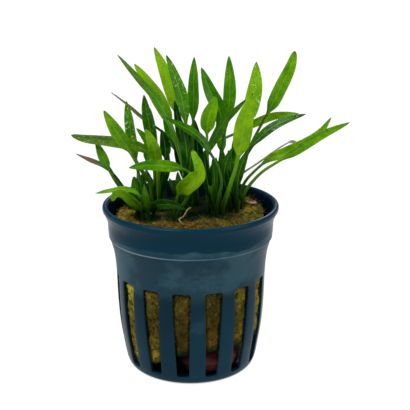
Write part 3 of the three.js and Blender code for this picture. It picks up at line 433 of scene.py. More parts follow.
class Graph:
    """A material's nodes, added by short calls."""

    def __init__(self, name, **settings):
        self.material = bpy.data.materials.new(name)
        self.material.use_nodes = True
        self.tree = self.material.node_tree
        self.shader = self.tree.nodes["Principled BSDF"]
        for socket, value in settings.items():
            self.drive(socket.replace("_", " "), value)

    def put(self, value, socket):
        if isinstance(value, Value):
            self.tree.links.new(value.socket, socket)
        else:
            socket.default_value = value

    def drive(self, socket, value):
        self.put(value, self.shader.inputs[socket])

    def node(self, kind, inputs, output=0, **properties):
        """Adds a node with its inputs, and gives one of its outputs."""
        made = self.tree.nodes.new(kind)
        for key, value in properties.items():
            setattr(made, key, value)
        for key, value in inputs.items():
            self.put(value, made.inputs[key])
        return Value(self, made.outputs[output])

    def place(self):
        return self.node("ShaderNodeTexCoord", {}, "Object")

    def attribute(self, name):
        return self.node("ShaderNodeAttribute", {}, "Fac", attribute_name=name)

    def noise(self, scale, detail, rough, stretch=None):
        place = self.place()
        if stretch:
            place = self.node("ShaderNodeMapping", {"Vector": place, "Scale": stretch}, "Vector")
        inputs = {"Vector": place, "Scale": scale, "Detail": detail, "Roughness": rough}
        return self.node("ShaderNodeTexNoise", inputs, "Fac")

    def math(self, kind, a, b=0, clamp=False):
        return self.node("ShaderNodeMath", {0: a, 1: b}, operation=kind, use_clamp=clamp)

    def spread(self, value, low, high, to_low=0, to_high=1):
        """The value's range from low to high, smoothly mapped to another range."""
        inputs = {"Value": value, "From Min": low, "From Max": high, "To Min": to_low, "To Max": to_high}
        return self.node("ShaderNodeMapRange", inputs, "Result", interpolation_type="SMOOTHSTEP")

    def mix(self, amount, a, b):
        """A blend of two colours, each of them a value or given in the steps of a screen."""
        a, b = (colour(*c) if isinstance(c, tuple) else c for c in (a, b))
        return self.node("ShaderNodeMix", {0: amount, 6: a, 7: b}, 2, data_type="RGBA")

    def bump(self, height, distance, strength):
        inputs = {"Height": height, "Distance": distance * MM, "Strength": strength}
        self.drive("Normal", self.node("ShaderNodeBump", inputs, "Normal"))


def pot_material():
    """Dark petrol blue plastic, hazed by dried water below the band, with a painted highlight along its
    raised line that is paler at the sides, and painted near black shade inside the lip."""
    g = Graph("pot_plastic", IOR=1.45, Specular_IOR_Level=0.05, Coat_Weight=0.03, Coat_Roughness=0.07)
    split = g.node("ShaderNodeSeparateXYZ", {"Vector": g.place()}).socket.node
    x, y, z = (Value(g, socket) for socket in split.outputs)
    height = z * (1 / MM)
    wavy = height + g.noise(55, 3, 0.5) * 9
    zone = g.spread(wavy, 33, 37) * g.spread(wavy, 49.3, 49.9, 1, 0)
    streaks = g.spread(g.noise(65, 5, 0.6, stretch=(1, 1, 1.4)), 0.42, 0.58)
    haze = zone * (streaks * 0.45 + 0.26)
    spots = g.spread(g.noise(75, 5, 0.62), 0.56, 0.74) * 0.35
    dull = g.math("ADD", haze, spots, clamp=True)
    wall = g.mix(g.spread(g.noise(24, 3, 0.5), 0.35, 0.68), (6, 34, 46), (12, 46, 60))
    plain = g.mix(g.spread(height, 42, 44.5), wall, (3, 41, 57))
    hazed = g.mix(dull, plain, (48, 78, 88))
    # Painted highlight along the raised line, in patches, paler at the sides where light catches it
    from_bead = g.math("ABSOLUTE", height - (BEAD_HEIGHT + 0.08))
    sideways = g.spread(g.math("ABSOLUTE", x), 0, 0.02, 0.5, 1)
    patchy = g.spread(g.noise(40, 3, 0.5), 0.3, 0.6, 0.4, 1) * sideways
    bead_highlight = g.mix(g.spread(from_bead, 0.08, 0.24, 0.8, 0) * patchy, hazed, (120, 146, 156))
    # Painted near black shade on the inside wall under the lip
    reach = g.math("SQRT", g.math("POWER", x, 2) + g.math("POWER", y, 2))
    inner_shade = g.spread(reach, 0.0261, 0.0264, 0.85, 0) * g.spread(height, 46, 47.5)
    g.drive("Base Color", g.mix(inner_shade, bead_highlight, (3, 14, 28)))
    g.drive("Roughness", dull * 0.25 + 0.27)
    g.bump(g.noise(1400, 3, 0.5) + g.noise(150, 3, 0.5) * 3, 0.025, 0.6)
    return g.material


def wool_material(name, lift=0):
    """Damp mineral wool: olive and straw, painted near black with shade under the plant and darker towards
    the plug's lower end, with yellow, brown and stained parts that come from the mesh's own values."""
    g = Graph(name, Roughness=0.85, Specular_IOR_Level=0.02)
    shade_and_darkening, yellow, brown, stain = (g.attribute(word) for word in WOOL_VALUES)
    clumps = g.noise(330, 5, 0.65)
    warm = g.spread(g.noise(120, 3, 0.6), 0.42, 0.66)
    straw = g.mix(warm, (104 + lift, 94 + lift, 32), (126 + lift, 96 + lift, 28))
    olive = g.mix(g.spread(g.noise(75, 3, 0.5), 0.4, 0.62), (64, 62, 22), straw)
    pale = g.mix(g.spread(g.noise(700, 4, 0.7), 0.5, 0.72), olive, (152, 132, 62))
    bright = g.mix(yellow * g.spread(clumps, 0.3, 0.55), pale, (160, 150, 44))
    golden = g.mix(brown, bright, (46, 34, 10))
    stained = g.mix(stain * g.spread(clumps, 0.35, 0.5), golden, (112, 76, 24))
    # Painted shade in the gaps between the fibres
    shaded_gaps = g.mix(g.spread(g.noise(640, 4, 0.7), 0.32, 0.55), (30, 26, 10), stained)
    # Painted near black shade under the plant on the top, and darkening low on the side
    g.drive("Base Color", g.mix(shade_and_darkening, shaded_gaps, (6, 26, 15)))
    g.bump(g.noise(1500, 4, 0.7), 0.25, 0.8)
    return g.material


def clay_material():
    g = Graph("clay", Roughness=0.7, Specular_IOR_Level=0.3)
    g.drive("Base Color", g.mix(g.spread(g.noise(220, 5, 0.6), 0.4, 0.65), (58, 18, 20), (96, 36, 30)))
    g.bump(g.noise(600, 5, 0.6), 0.3, 0.8)
    return g.material


def leaf_material():
    """Wet leaf skin: dark to bright green by leaf, the dark partly painted shade, and mottled, with a faint
    midrib, fine long veins, browned edges and tips, painted white highlights of water glints on some leaves,
    and painted shade at the plant's foot."""
    g = Graph(
        "leaf", IOR=1.42, Specular_IOR_Level=0.08, Coat_Weight=0.05, Coat_Roughness=0.06,
        Subsurface_Weight=0.15, Subsurface_Radius=(0.5, 1, 0.15), Subsurface_Scale=0.8 * MM,
    )
    across, along, tone_and_shade, low, glint, worn = (g.attribute(word) for word in LEAF_VALUES)
    from_rib = g.math("ABSOLUTE", across)
    blotches = (g.noise(150, 4, 0.6) - 0.5) * 0.75
    grain = (g.noise(800, 3, 0.6) - 0.5) * 0.35
    # A leaf's tone is partly its own green and partly painted shade on leaves deep in the plant
    mottled = tone_and_shade + (blotches + grain)
    dark_half = g.mix(g.spread(mottled, 0, 0.5), (2, 38, 2), (48, 102, 1))
    green = g.mix(g.spread(mottled, 0.4, 1), dark_half, (120, 162, 2))
    veins = g.math("SINE", across * 26)
    veined = g.mix(g.spread(veins, 0.2, 1, 0, 0.16), green, (18, 66, 4))
    rib = g.spread(from_rib, 0.03, 0.12, 0.3, 0) * g.spread(along, 0, 0.1)
    ribbed = g.mix(rib, veined, (124, 172, 40))
    stalk = g.mix(tone_and_shade, (18, 62, 12), (84, 138, 26))
    stalked = g.mix(g.spread(along, -0.25, 0.12, 0.85, 0), ribbed, stalk)
    ragged = from_rib + g.noise(300, 4, 0.65) * 0.9
    edge = g.spread(ragged, 1.42, 1.6, 0, 0.75) * g.spread(along, 0.25, 0.6)
    edged = g.mix(edge, stalked, (60, 46, 18))
    end = along + g.noise(500, 3, 0.6) * 0.06
    browned = g.mix(g.spread(end, 0.3, 0.75) * worn, edged, (104, 78, 66))
    tipped = g.mix(g.spread(end, 0.98, 1.035, 0, 0.85), browned, (58, 40, 22))
    # Painted white highlights, glints of water, on some leaves
    glint_highlights = g.spread(g.noise(1150, 3, 0.6), 0.57, 0.7, 0, 0.75) * glint
    glint_highlighted = g.mix(glint_highlights, tipped, (190, 216, 160))
    # Painted near black shade at the plant's foot, where low is 1
    g.drive("Base Color", g.mix(low * 0.93, glint_highlighted, (1, 24, 5)))
    g.drive("Roughness", g.spread(g.noise(260, 4, 0.6), 0.3, 0.75, 0.2, 0.45))
    g.bump(veins * 0.25 + g.noise(420, 4, 0.6), 0.12, 0.45)
    return g.material


def dry_material(name, pale, dark, scale):
    g = Graph(name, Roughness=0.75, Specular_IOR_Level=0.3)
    g.drive("Base Color", g.mix(g.spread(g.noise(scale, 4, 0.6), 0.35, 0.65), dark, pale))
    g.bump(g.noise(scale * 3, 4, 0.6), 0.1, 0.7)
    return g.material


# Net pot

def pot_inside(height):
    heights = [z for _, z in reversed(POT_INSIDE)]
    return np.interp(height, heights, [r for r, _ in reversed(POT_INSIDE)])


def slot_half_width(height):
    """Half a slot's width at a height, round at its corners."""
    share = np.clip((height - SLOT_BOTTOM) / (SLOT_TOP - SLOT_BOTTOM), 0, 1)
    half = blend(SLOT_WIDTH_BOTTOM, SLOT_WIDTH_TOP, share) / 2
    into_corner = SLOT_CORNER - min(height - SLOT_BOTTOM, SLOT_TOP - height, SLOT_CORNER)
    into_corner = min(into_corner, SLOT_CORNER)
    return half - SLOT_CORNER + math.sqrt(SLOT_CORNER**2 - into_corner**2)


def column_turn(offset, reach, half, pitch, cells):
    """Degrees from a hole's middle to a column, which are even over the hole and again up to the next."""
    if abs(offset) <= reach:
        return half * offset / reach
    return math.copysign(half + (pitch / 2 - half) * (abs(offset) - reach) / (cells / 2 - reach), offset)


def wall_angle(column, radius, height):
    """Angle of a column of the wall's grid, whose columns close in on the edges of the slots."""
    sector, step = divmod(column, SLOT_CELLS)
    pitch = 360 / SLOT_COUNT
    away = max(height - SLOT_TOP, SLOT_BOTTOM - height, 0)
    even = pitch * POT_SLOT_CELLS / SLOT_CELLS / 2
    half = blend(math.degrees(slot_half_width(height) / radius), even, smoothstep(away, 0, 3))
    turn = column_turn(step - SLOT_CELLS / 2, POT_SLOT_CELLS / 2, half, pitch, SLOT_CELLS)
    return SLOT_PHASE + pitch * sector + turn


def floor_angle(column, radius):
    """Angle of a column of the floor's grid, whose columns close in on the edges of the drain holes."""
    sector, step = divmod(column - DRAIN_FIRST + DRAIN_CELLS // 2, DRAIN_CELLS)
    half = math.degrees(math.asin(DRAIN_WIDTH / 2 / max(radius, DRAIN_FROM)))
    pitch = 360 / DRAIN_COUNT
    return 90 + pitch * sector + column_turn(step - DRAIN_CELLS // 2, DRAIN_REACH, half, pitch, DRAIN_CELLS)


def is_drain_cell(column):
    offset = (column - DRAIN_FIRST + DRAIN_CELLS // 2) % DRAIN_CELLS - DRAIN_CELLS // 2
    return -DRAIN_REACH <= offset < DRAIN_REACH


def is_slot_cell(column):
    return POT_RIB_CELLS // 2 <= column % SLOT_CELLS < POT_RIB_CELLS // 2 + POT_SLOT_CELLS


def with_bead(outside):
    """The outside profile with a thin raised line, and rows close enough together to hold it."""
    below = outside[outside[:, 1] < BEAD_HEIGHT - BEAD_ROOM]
    above = outside[len(below):]
    above = above[above[:, 1] > BEAD_HEIGHT + BEAD_ROOM]
    heights = BEAD_HEIGHT + np.linspace(-BEAD_REACH, BEAD_REACH, BEAD_ROWS)
    radii = np.interp(heights, [below[-1, 1], above[0, 1]], [below[-1, 0], above[0, 0]])
    radii += BEAD_RISE * np.exp(-(((heights - BEAD_HEIGHT) / BEAD_SPREAD) ** 2))
    return np.concatenate([below, np.column_stack([radii, heights]), above])


def pot_mesh(material):
    """The pot as one closed grid: rows run from under the base, up the outside, over the lip and back down
    the inside. Cells in the slots and drain holes are left open, and their outer and inner edges joined."""
    outside = with_bead(spline([(16.9, 0), *POT_OUTSIDE], OUTSIDE_STEPS)[OUTSIDE_STEPS:])
    outside[:, 0] = np.minimum(outside[:, 0], LIP_RADIUS)
    inside = spline(POT_INSIDE, INSIDE_STEPS)
    corner = [SLOT_CORNER * (1 - math.cos(a)) for a in np.linspace(0, math.pi / 2, CORNER_ROWS)]
    slot_rows = [SLOT_BOTTOM + c for c in corner]
    slot_rows += list(np.linspace(SLOT_BOTTOM + SLOT_CORNER, SLOT_TOP - SLOT_CORNER, SLOT_ROWS)[1:-1])
    slot_rows += [SLOT_TOP - c for c in reversed(corner)]
    middle_rows = [1, 2.8, 5, 6.4]
    floor_rows = [*middle_rows, *np.linspace(DRAIN_FROM, DRAIN_TO, DRAIN_ROWS), 15.9, 17]

    wall_out = outside[: 10 * OUTSIDE_STEPS].T[::-1]
    rows = [(r, 0, "floor") for r in floor_rows]
    rows += [(r, z, "wall") for r, z in outside if z < SLOT_BOTTOM - 0.2]
    first_slot = len(rows)
    rows += [(float(np.interp(z, *wall_out)), z, "wall") for z in slot_rows]
    rows += [(r, z, "wall") for r, z in [*outside, *inside[1:]] if z > SLOT_TOP + 0.3]
    last_slot = len(rows)
    rows += [(float(pot_inside(z)), z, "wall") for z in reversed(slot_rows)]
    rows += [(r, z, "wall") for r, z in inside if z < SLOT_BOTTOM - 0.2]
    rows += [(r, FLOOR_TOP, "floor") for r in reversed(floor_rows)]

    points = []
    for radius, height, kind in rows:
        for column in range(POT_COLUMNS):
            angle = wall_angle(column, radius, height)
            if kind == "floor":
                share = float(smoothstep(radius, DRAIN_TO, COLUMNS_MEET))
                angle = blend(floor_angle(column, radius), angle, share)
            a = math.radians(angle)
            points.append((radius * math.sin(a), -radius * math.cos(a), height))
    under, over = len(points), len(points) + 1
    points += [(0, 0, 0), (0, 0, FLOOR_TOP)]

    last_row = len(rows) - 1
    outer_slot = range(first_slot, first_slot + len(slot_rows))
    inner_slot = range(last_slot, last_slot + len(slot_rows))
    outer_drain = range(len(middle_rows), len(middle_rows) + DRAIN_ROWS)
    faces = []
    for row in range(last_row):
        in_slot = row in outer_slot[:-1] or row in inner_slot[:-1]
        in_drain = row in outer_drain[:-1] or last_row - 1 - row in outer_drain[:-1]
        low, high = row * POT_COLUMNS, (row + 1) * POT_COLUMNS
        for i, j in ring(POT_COLUMNS):
            if not (in_slot and is_slot_cell(i) or in_drain and is_drain_cell(i)):
                faces.append((low + i, low + j, high + j, high + i))
    last_start = last_row * POT_COLUMNS
    for i, j in ring(POT_COLUMNS):
        faces += [(under, j, i), (over, last_start + i, last_start + j)]

    def join_hole(outer, inner, is_hole):
        """Walls of the holes between matching outer and inner rows."""
        outer, inner = ([row * POT_COLUMNS for row in side] for side in (outer, inner))
        for i, j in ring(POT_COLUMNS):
            opens, closes = is_hole(i) and not is_hole(i - 1), is_hole(i - 1) and not is_hole(i)
            for a, b, c, d in zip(outer, outer[1:], inner, inner[1:]):
                if opens:
                    faces.append((a + i, b + i, d + i, c + i))
                if closes:
                    faces.append((b + i, a + i, c + i, d + i))
            if is_hole(i):
                a, c, b, d = outer[0], inner[0], outer[-1], inner[-1]
                faces.extend([(a + j, a + i, c + i, c + j), (b + i, b + j, d + j, d + i)])

    join_hole(outer_slot, inner_slot[::-1], is_slot_cell)
    join_hole(outer_drain, [last_row - row for row in outer_drain], is_drain_cell)

    pot = add_mesh("net_pot_shell", points, faces, material)
    mesh = bmesh.new()
    mesh.from_mesh(pot.data)
    bmesh.ops.recalc_face_normals(mesh, faces=mesh.faces)
    limit = math.radians(POT_SHARP)
    sharp = [edge for edge in mesh.edges if len(edge.link_faces) == 2 and edge.calc_face_angle() > limit]
    bmesh.ops.bevel(
        mesh, geom=sharp, offset=POT_ROUNDING * MM, offset_type="OFFSET", segments=2, profile=0.6,
        affect="EDGES",
    )
    mesh.to_mesh(pot.data)
    mesh.free()
    pot.data.shade_smooth()
    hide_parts("net_pot")


# Wool

def wool_top(x, y):
    height = WOOL_LEVEL + 0.35 * math.sin(0.9 * x + 1) * math.cos(0.8 * y)
    for mound_x, mound_y, rise, spread in WOOL_MOUNDS:
        height += rise * math.exp(-((x - mound_x) ** 2 + (y - mound_y) ** 2) / (2 * spread**2))
    return height


def wool_bottom(x):
    return 11.8 - 9.8 / (1 + math.exp((x + 9) / 3.5))


def wool_radius(angle, height):
    """Radius of the wool's side. An angle here is measured anticlockwise from +X."""
    lumps = math.sin(5 * angle + height / 4) + 0.8 * math.sin(9 * angle - height / 3)
    return min(float(pot_inside(height)) - WOOL_SIDE, WOOL_TOP_RADIUS) + WOOL_LUMP * lumps


def from_front(angle):
    """Degrees round from the front, from -180 to 180."""
    return (math.degrees(angle) + 90 + 180) % 360 - 180


def slot_bulge(angle, height):
    """How far the wool stands out into a slot."""
    if not SLOT_BOTTOM + 0.3 < height < SLOT_TOP - 0.3:
        return 0
    pitch = 360 / SLOT_COUNT
    off = abs((from_front(angle) - SLOT_PHASE + pitch / 2) % pitch - pitch / 2)
    half = math.degrees(slot_half_width(height) / float(pot_inside(height)))
    inside = float(1 - smoothstep(off, half - 2.2, half - 0.5))
    return SLOT_BULGE * inside * float(smoothstep(SLOT_TOP - height, 0.2, 1.4))


def nearness(x, y, at_x, at_y, spread):
    """1 at a place, and falling to 0 around it."""
    return math.exp(-((x - at_x) ** 2 + (y - at_y) ** 2) / spread**2)


def wool_values(x, y, z, on_top):
    """Shader values at a point of the wool: painted shade on the top and darkening low on the side, yellow,
    brown and stain.
    """
    if on_top:
        # Painted shade on the top round the crowns, under the plant's leaves, wider on the right
        gap = min(math.hypot(x - a, y - b) for a, b in CROWNS.values()) - CROWN_SHOULDER
        rough = 1.2 * noise.noise(Vector((x, y, z)) * 0.5)
        reach = float(smoothstep(x, -12, -4))
        shade_and_darkening = float(1 - smoothstep(gap + rough, 0.5 + 1.7 * reach, 3.5 + 3 * reach)) * 0.98
        stain = sum(nearness(x, y, *patch) for patch in WOOL_STAINS)
        mound = nearness(x, y, *MOUND_PALE)
        # Painted shade over the back of the top, under the leaves; the pale mound is kept out of it
        shaded = 0.97 * float(smoothstep(y, -3, 3) * smoothstep(x, -15, -9))
        brown = 0.5 * float(smoothstep(-y, 11, 17))
        return max(shade_and_darkening, shaded) * (1 - 0.9 * mound), 0.3 * mound, brown, min(1, stain)
    round_from_front = from_front(math.atan2(y, x))
    yellow = brown = 0
    for turn, height, wide, high, more_yellow, more_brown in WOOL_PATCHES:
        near = math.exp(-(((round_from_front - turn) / wide) ** 2) - ((z - height) / high) ** 2)
        yellow += near * more_yellow
        brown += near * more_brown
    # Darker towards the side's lower end
    low = z - wool_bottom(x)
    return float(1 - smoothstep(low, 0.3, 3.5)) * 0.9, min(1, yellow), min(1, brown), 0.0


def tufts(place):
    """How far a point of the wool stands out: clumps and fuzz."""
    big = noise.fractal(Vector(place) * 0.28, 1, 2, 4) * 0.7
    small = noise.fractal(Vector(place) * 1.1 + Vector((7, 3, 5)), 0.9, 2, 4) * 0.45
    return big + small


def wool_mesh(material):
    points, values, rings = [], [], []
    top_shares = [0.02, *np.linspace(0.05, 1, WOOL_TOP_ROWS)]
    levels = np.linspace(1, 0, WOOL_SIDE_ROWS)[1:]
    bottom_shares = np.linspace(0.93, 0.05, WOOL_BOTTOM_ROWS)
    for angle in turns(WOOL_SEGMENTS):
        cos, sin = math.cos(angle), math.sin(angle)
        edge = wool_radius(angle, WOOL_LEVEL - 1)
        bottom = wool_bottom(WOOL_REACH * cos)
        top = wool_top(edge * cos, edge * sin) - WOOL_EDGE_DROP
        column = []
        for share in top_shares:
            x, y = share * edge * cos, share * edge * sin
            drop = WOOL_EDGE_DROP * float(smoothstep(share, 0.86, 1))
            lift = tufts((x, y, TUFT_LEVEL)) * (1 - 0.4 * float(smoothstep(share, 0.9, 1)))
            column.append((x, y, wool_top(x, y) - drop + lift * TUFT_RISE, True))
        for level in levels:
            height = blend(bottom, top, level)
            fuzz = TUFT_RISE * tufts((WOOL_REACH * cos, WOOL_REACH * sin, height)) * SIDE_TUFTS
            bulge = slot_bulge(angle, height)
            radius = wool_radius(angle, height) + bulge + max(-0.6, min(0.3, fuzz))
            column.append((radius * cos, radius * sin, height, False))
        low_radius = wool_radius(angle, bottom)
        for share in bottom_shares:
            x, y = share * low_radius * cos, share * low_radius * sin
            height = blend(wool_bottom(x), bottom, share**3) + 0.3 * tufts((x, y, 0))
            column.append((x, y, height, False))
        rings.append(column)
    rows = len(rings[0])
    for row in range(rows - 1, -1, -1):
        for column in rings:
            *place, on_top = column[row]
            points.append(tuple(place))
            values.append(wool_values(*place, on_top))
    lowest = (0, 0, wool_bottom(0))
    highest = (0, 0, wool_top(0, 0) + TUFT_RISE * tufts((0, 0, TUFT_LEVEL)))
    faces = closed_loft(points, rows, WOOL_SEGMENTS, lowest, highest)
    values += [(0.9, 0, 0, 0)] * 2
    wool = add_mesh("wool_plug", points, faces, material, dict(zip(WOOL_VALUES, zip(*values))))
    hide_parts("rockwool_plug")


def fibre(start, way, length, radius, bend, points, faces):
    """Adds one thin three-sided fibre, pointed at both ends, that curls as it goes."""
    sides, steps = 3, 5
    side = way.cross(Vector((0.3, 0.5, 0.8))).normalized()
    place = start.copy()
    first = len(points)
    points.append(tuple(place))
    for step in range(1, steps):
        turn = Quaternion(side, bend * (0.6 + 0.4 * math.sin(step * 2.1)))
        way = (turn @ way).normalized()
        place = place + way * (length / steps)
        across = way.cross(side).normalized()
        for a in turns(sides):
            points.append(tuple(place + (side * math.cos(a) + across * math.sin(a)) * radius))
    points.append(tuple(place + way * (length / steps)))
    faces += loft_faces(steps - 1, sides, first, len(points) - 1, first + 1)


def wool_fibres(material):
    """Loose fibres that lie and curl over the wool's top and sides."""
    draw = random.Random(FIBRE_SEED)
    points, faces, values = [], [], []

    def strand(start, way, longest, thickest, bend, on_top):
        length, radius = draw.uniform(0.8, longest), draw.uniform(0.035, thickest)
        fibre(start, way, length, radius, draw.uniform(-bend, bend), points, faces)
        values.extend([wool_values(*start, on_top)] * (len(points) - len(values)))

    for _ in range(TOP_FIBRES):
        reach = TOP_FIBRE_REACH * math.sqrt(draw.random())
        angle = draw.uniform(0, 2 * math.pi)
        x, y = reach * math.cos(angle), reach * math.sin(angle)
        start = Vector((x, y, wool_top(x, y) + TUFT_RISE * tufts((x, y, TUFT_LEVEL)) - 0.1))
        heading = draw.uniform(0, 2 * math.pi)
        way = Vector((math.cos(heading), math.sin(heading), draw.uniform(0, 0.5))).normalized()
        strand(start, way, 2.8, 0.08, 0.4, True)
    for _ in range(SIDE_FIBRES):
        angle = draw.uniform(0, 2 * math.pi)
        height = draw.uniform(*SIDE_FIBRE_HEIGHTS)
        if height < wool_bottom(WOOL_REACH * math.cos(angle)) + 0.5:
            continue
        radius = wool_radius(angle, height) + slot_bulge(angle, height) + 0.05
        start = Vector((radius * math.cos(angle), radius * math.sin(angle), height))
        tangent = Vector((-math.sin(angle), math.cos(angle), 0))
        way = (tangent * draw.uniform(-1, 1) + Vector((0, 0, draw.uniform(-1, 1)))).normalized()
        strand(start, way, 2.4, 0.065, 0.25, False)
    fibres = add_mesh("wool_fibres", points, faces, material, dict(zip(WOOL_VALUES, zip(*values))))


def clay_mesh(material):
    """A rough lump that fills the space between the pot's floor and the wool, against the front wall."""
    rows, count = 22, 60
    floor = FLOOR_TOP + GAP
    points = []
    for row in range(rows):
        rise = (row + 0.5) / rows
        share = math.sin(math.pi * min(0.98, 0.16 + 0.66 * rise)) ** 0.55 if rise > 0.5 else 0.8 + 0.36 * rise
        for angle in turns(count):
            bumpy = 1 + 0.06 * math.sin(3 * angle + 1) + 0.05 * math.sin(5 * angle)
            reach = CLAY_RADIUS * (share * bumpy)
            place = Vector((CLAY_X + reach * math.cos(angle), CLAY_Y + reach * math.sin(angle)))
            height = min(floor + rise * (CLAY_TOP - floor), wool_bottom(place.x) - 0.4)
            rough = 0.8 * noise.fractal(Vector((place.x, place.y, height)) * 0.5, 1, 2, 4)
            place *= 1 + 0.03 * rough
            limit = float(pot_inside(height)) - 0.7
            if place.length > limit:
                place *= limit / place.length
            points.append((place.x, place.y, height + 0.25 * rough * math.sin(math.pi * rise)))
    top = wool_bottom(CLAY_X) - 0.9
    faces = closed_loft(points, rows, count, (CLAY_X, CLAY_Y, floor), (CLAY_X, CLAY_Y, top))
    lump = add_mesh("clay_rough", points, faces, material)
    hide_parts("clay_lump")


# Plant

def crown_height(x, y):
    return wool_top(x, y) - CROWN_SINK


def blade_shape(share, marks):
    return math.sin(math.pi * share**0.8) ** (BLADE_BLUNT if "blunt" in marks else BLADE_POINTED)


def leaf_section(share, width, blade, wave, marks, length):
    """Outline of a leaf across its middle, round in the stalk and thin and folded in the blade, and its place
    along the blade, which is below 0 in the stalk."""
    count = len(LEAF_ACROSS)
    stalk = blend(STALK_BASE, STALK_END, min(1, share / (1 - blade)))
    for mark in marks:
        stalk *= STALK_SHARES.get(mark, 1)
    stalk *= 1 + SHEATH_WIDEN * float(1 - smoothstep(share * length, 0, SHEATH_LENGTH))
    along = (share - 1 + blade) / blade
    inside = min(max(along, 0), 0.9995)
    opened = float(smoothstep(inside, 0, 0.22))
    half = max(width / 2 * blade_shape(inside, marks), 0.04 if along > 0.5 else stalk * 0.9)
    if "waisted" in marks:
        half *= 1 - WAIST * float(smoothstep(inside, WAIST_FROM, WAIST_TO))
    rib = blend(stalk, BLADE_RIB, opened) * (1 - 0.6 * float(smoothstep(inside, 0.7, 1)))
    loop = []
    for side in (1, -1):
        for k, u in enumerate(LEAF_ACROSS if side > 0 else reversed(LEAF_ACROSS)):
            a = math.pi * (1 - (k + 0.5) / count) if side > 0 else -math.pi * (k + 0.5) / count
            round_place = (stalk * math.cos(a), stalk * math.sin(a))
            fold = BLADE_FOLD * half * (math.sqrt(u * u + 0.02) - 0.14)
            ripple = wave * half * u * u * (1 if u > 0 else -0.6)
            keel = rib * math.exp(-((u / 0.12) ** 2)) * (0.35 if side > 0 else 1)
            groove = 0.1 * math.exp(-((u / 0.1) ** 2)) * opened if side > 0 else 0
            thick = BLADE_EDGE * (1 - 0.75 * u**4) + keel
            flat_place = (half * u, fold + ripple + side * thick - groove)
            loop.append([blend(r, f, opened) for r, f in zip(round_place, flat_place)])
    return loop, along


def leaf_shape(crown, row, reach, height, draw, glint=0, worn=0):
    """Points, faces and shader values of a leaf that starts at a reach from its crown's middle."""
    at, by, tip, width, blade, turn, tone_and_shade, *marks = row
    x, y = CROWNS[crown]
    a = math.radians(at)
    base = np.array((x + reach * math.sin(a), y - reach * math.cos(a), crown_height(x, y) + height))
    line = spline([base, base + (0, 0, CROWN_STRAIGHT), *by, tip], 14)
    start = 1 - blade
    shares = [start * i / STALK_ROWS for i in range(STALK_ROWS)]
    shares += [start + blade * (i / BLADE_ROWS) ** 0.95 for i in range(BLADE_ROWS + 1)]
    places, ways = sample_line(line, shares)
    length = float(np.sum(np.linalg.norm(np.diff(line, axis=0), axis=1)))
    ripples, phase, twist = draw.uniform(1.2, 2.6), draw.uniform(0, 6.28), draw.uniform(-14, 14)
    depth = draw.uniform(0.05, 0.14)
    points, along_values, foot_shade_values = [], [], []
    columns = [*LEAF_ACROSS, *reversed(LEAF_ACROSS)]
    for share, place, way in zip(shares, places, ways):
        inside = max(0, (share - start) / blade)
        wave = depth * math.sin(inside * ripples * math.pi * 2 + phase) * min(1, 4 * inside)
        loop, along = leaf_section(share, width, blade, wave, marks, length)
        side = Quaternion(way, math.radians(turn + twist * inside)) @ way.cross(VIEW).normalized()
        face = side.cross(way)
        points += [tuple(Vector(place) + side * u + face * v) for u, v in loop]
        along_values += [along] * len(columns)
        # Painted shade at the plant's foot, fading out up to LEAF_SHADE over the leaf's base
        foot_shade_values += [float(1 - smoothstep(place[2] - base[2], 1.5, LEAF_SHADE))] * len(columns)
    loft = closed_loft(points, len(shares), len(columns), tuple(places[0]), tuple(places[-1]))
    faces = [tuple(reversed(face)) for face in loft]
    across = columns * len(shares) + [0, 0]
    along_values += [along_values[0], 1]
    foot_shade_values += [foot_shade_values[0], 0]
    tone_and_shade_values = [tone_and_shade + draw.uniform(-0.05, 0.05)] * len(points)
    glints = [glint * float(smoothstep(along, 0.05, 0.3)) for along in along_values]
    numbers = (across, along_values, tone_and_shade_values, foot_shade_values, glints, [worn] * len(points))
    return points, faces, dict(zip(LEAF_VALUES, numbers))


def leaf_mesh(name, crown, row, materials, draw):
    kind = "dead_leaf" if "withered" in row else "leaf"
    node = "dead_leaf" if kind == "dead_leaf" else name
    glint, worn = WET_GLINTS.get(name, 0), WORN_ENDS.get(name, 0)
    points, faces, values = leaf_shape(crown, row, CROWN_RING, GAP, draw, glint, worn)
    leaf = add_mesh(f"{node}_fine", points, faces, materials[kind], values)
    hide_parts(node)


def crown_mesh(name, materials, draw):
    """A short fleshy rhizome with rings of old leaf scars and a pointed heart, and the young leaves that grow
    out of the heart."""
    x, y = CROWNS[name]
    z = crown_height(x, y)
    shoulder = CROWN_SHOULDER - 0.1
    foot = [(1.6, 0.2 - CROWN_DEPTH), (shoulder, 1.2 - CROWN_DEPTH), (shoulder, -0.6)]
    profile = spline([*foot, (CROWN_SHOULDER - 0.6, -0.05), *CROWN_HEART], 5)
    points = []
    for radius, height in profile:
        scar = 0.08 * math.sin(height * 5) * min(1, radius)
        for angle in turns(CROWN_SIDES):
            r = radius + scar + min(0.1, 0.3 * radius) * (0.6 * math.sin(3 * angle + height) - 0.7)
            points.append((x + r * math.cos(angle), y + r * math.sin(angle), z + height))
    low, high = (x, y, z - CROWN_DEPTH + 0.1), (x, y, z + CROWN_HEART[-1][1] + 0.1)
    faces = closed_loft(points, len(profile), CROWN_SIDES, low, high)
    values = {word: [0.0] * len(points) for word in LEAF_VALUES}
    body_faces = len(faces)
    for row in YOUNG[name]:
        row = (*row, "young")
        more_points, more_faces, more_values = leaf_shape(name, row, YOUNG_RING, YOUNG_BASE, draw)
        faces += [tuple(len(points) + i for i in face) for face in more_faces]
        points += more_points
        for word, numbers in more_values.items():
            values[word] += numbers
    crown = add_mesh(f"rhizome_{name}", points, faces, materials["crown"], values)
    crown.data.materials.append(materials["leaf"])
    crown.data.polygons.foreach_set("material_index", [0] * body_faces + [1] * (len(faces) - body_faces))
    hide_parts(f"crown_{name}")


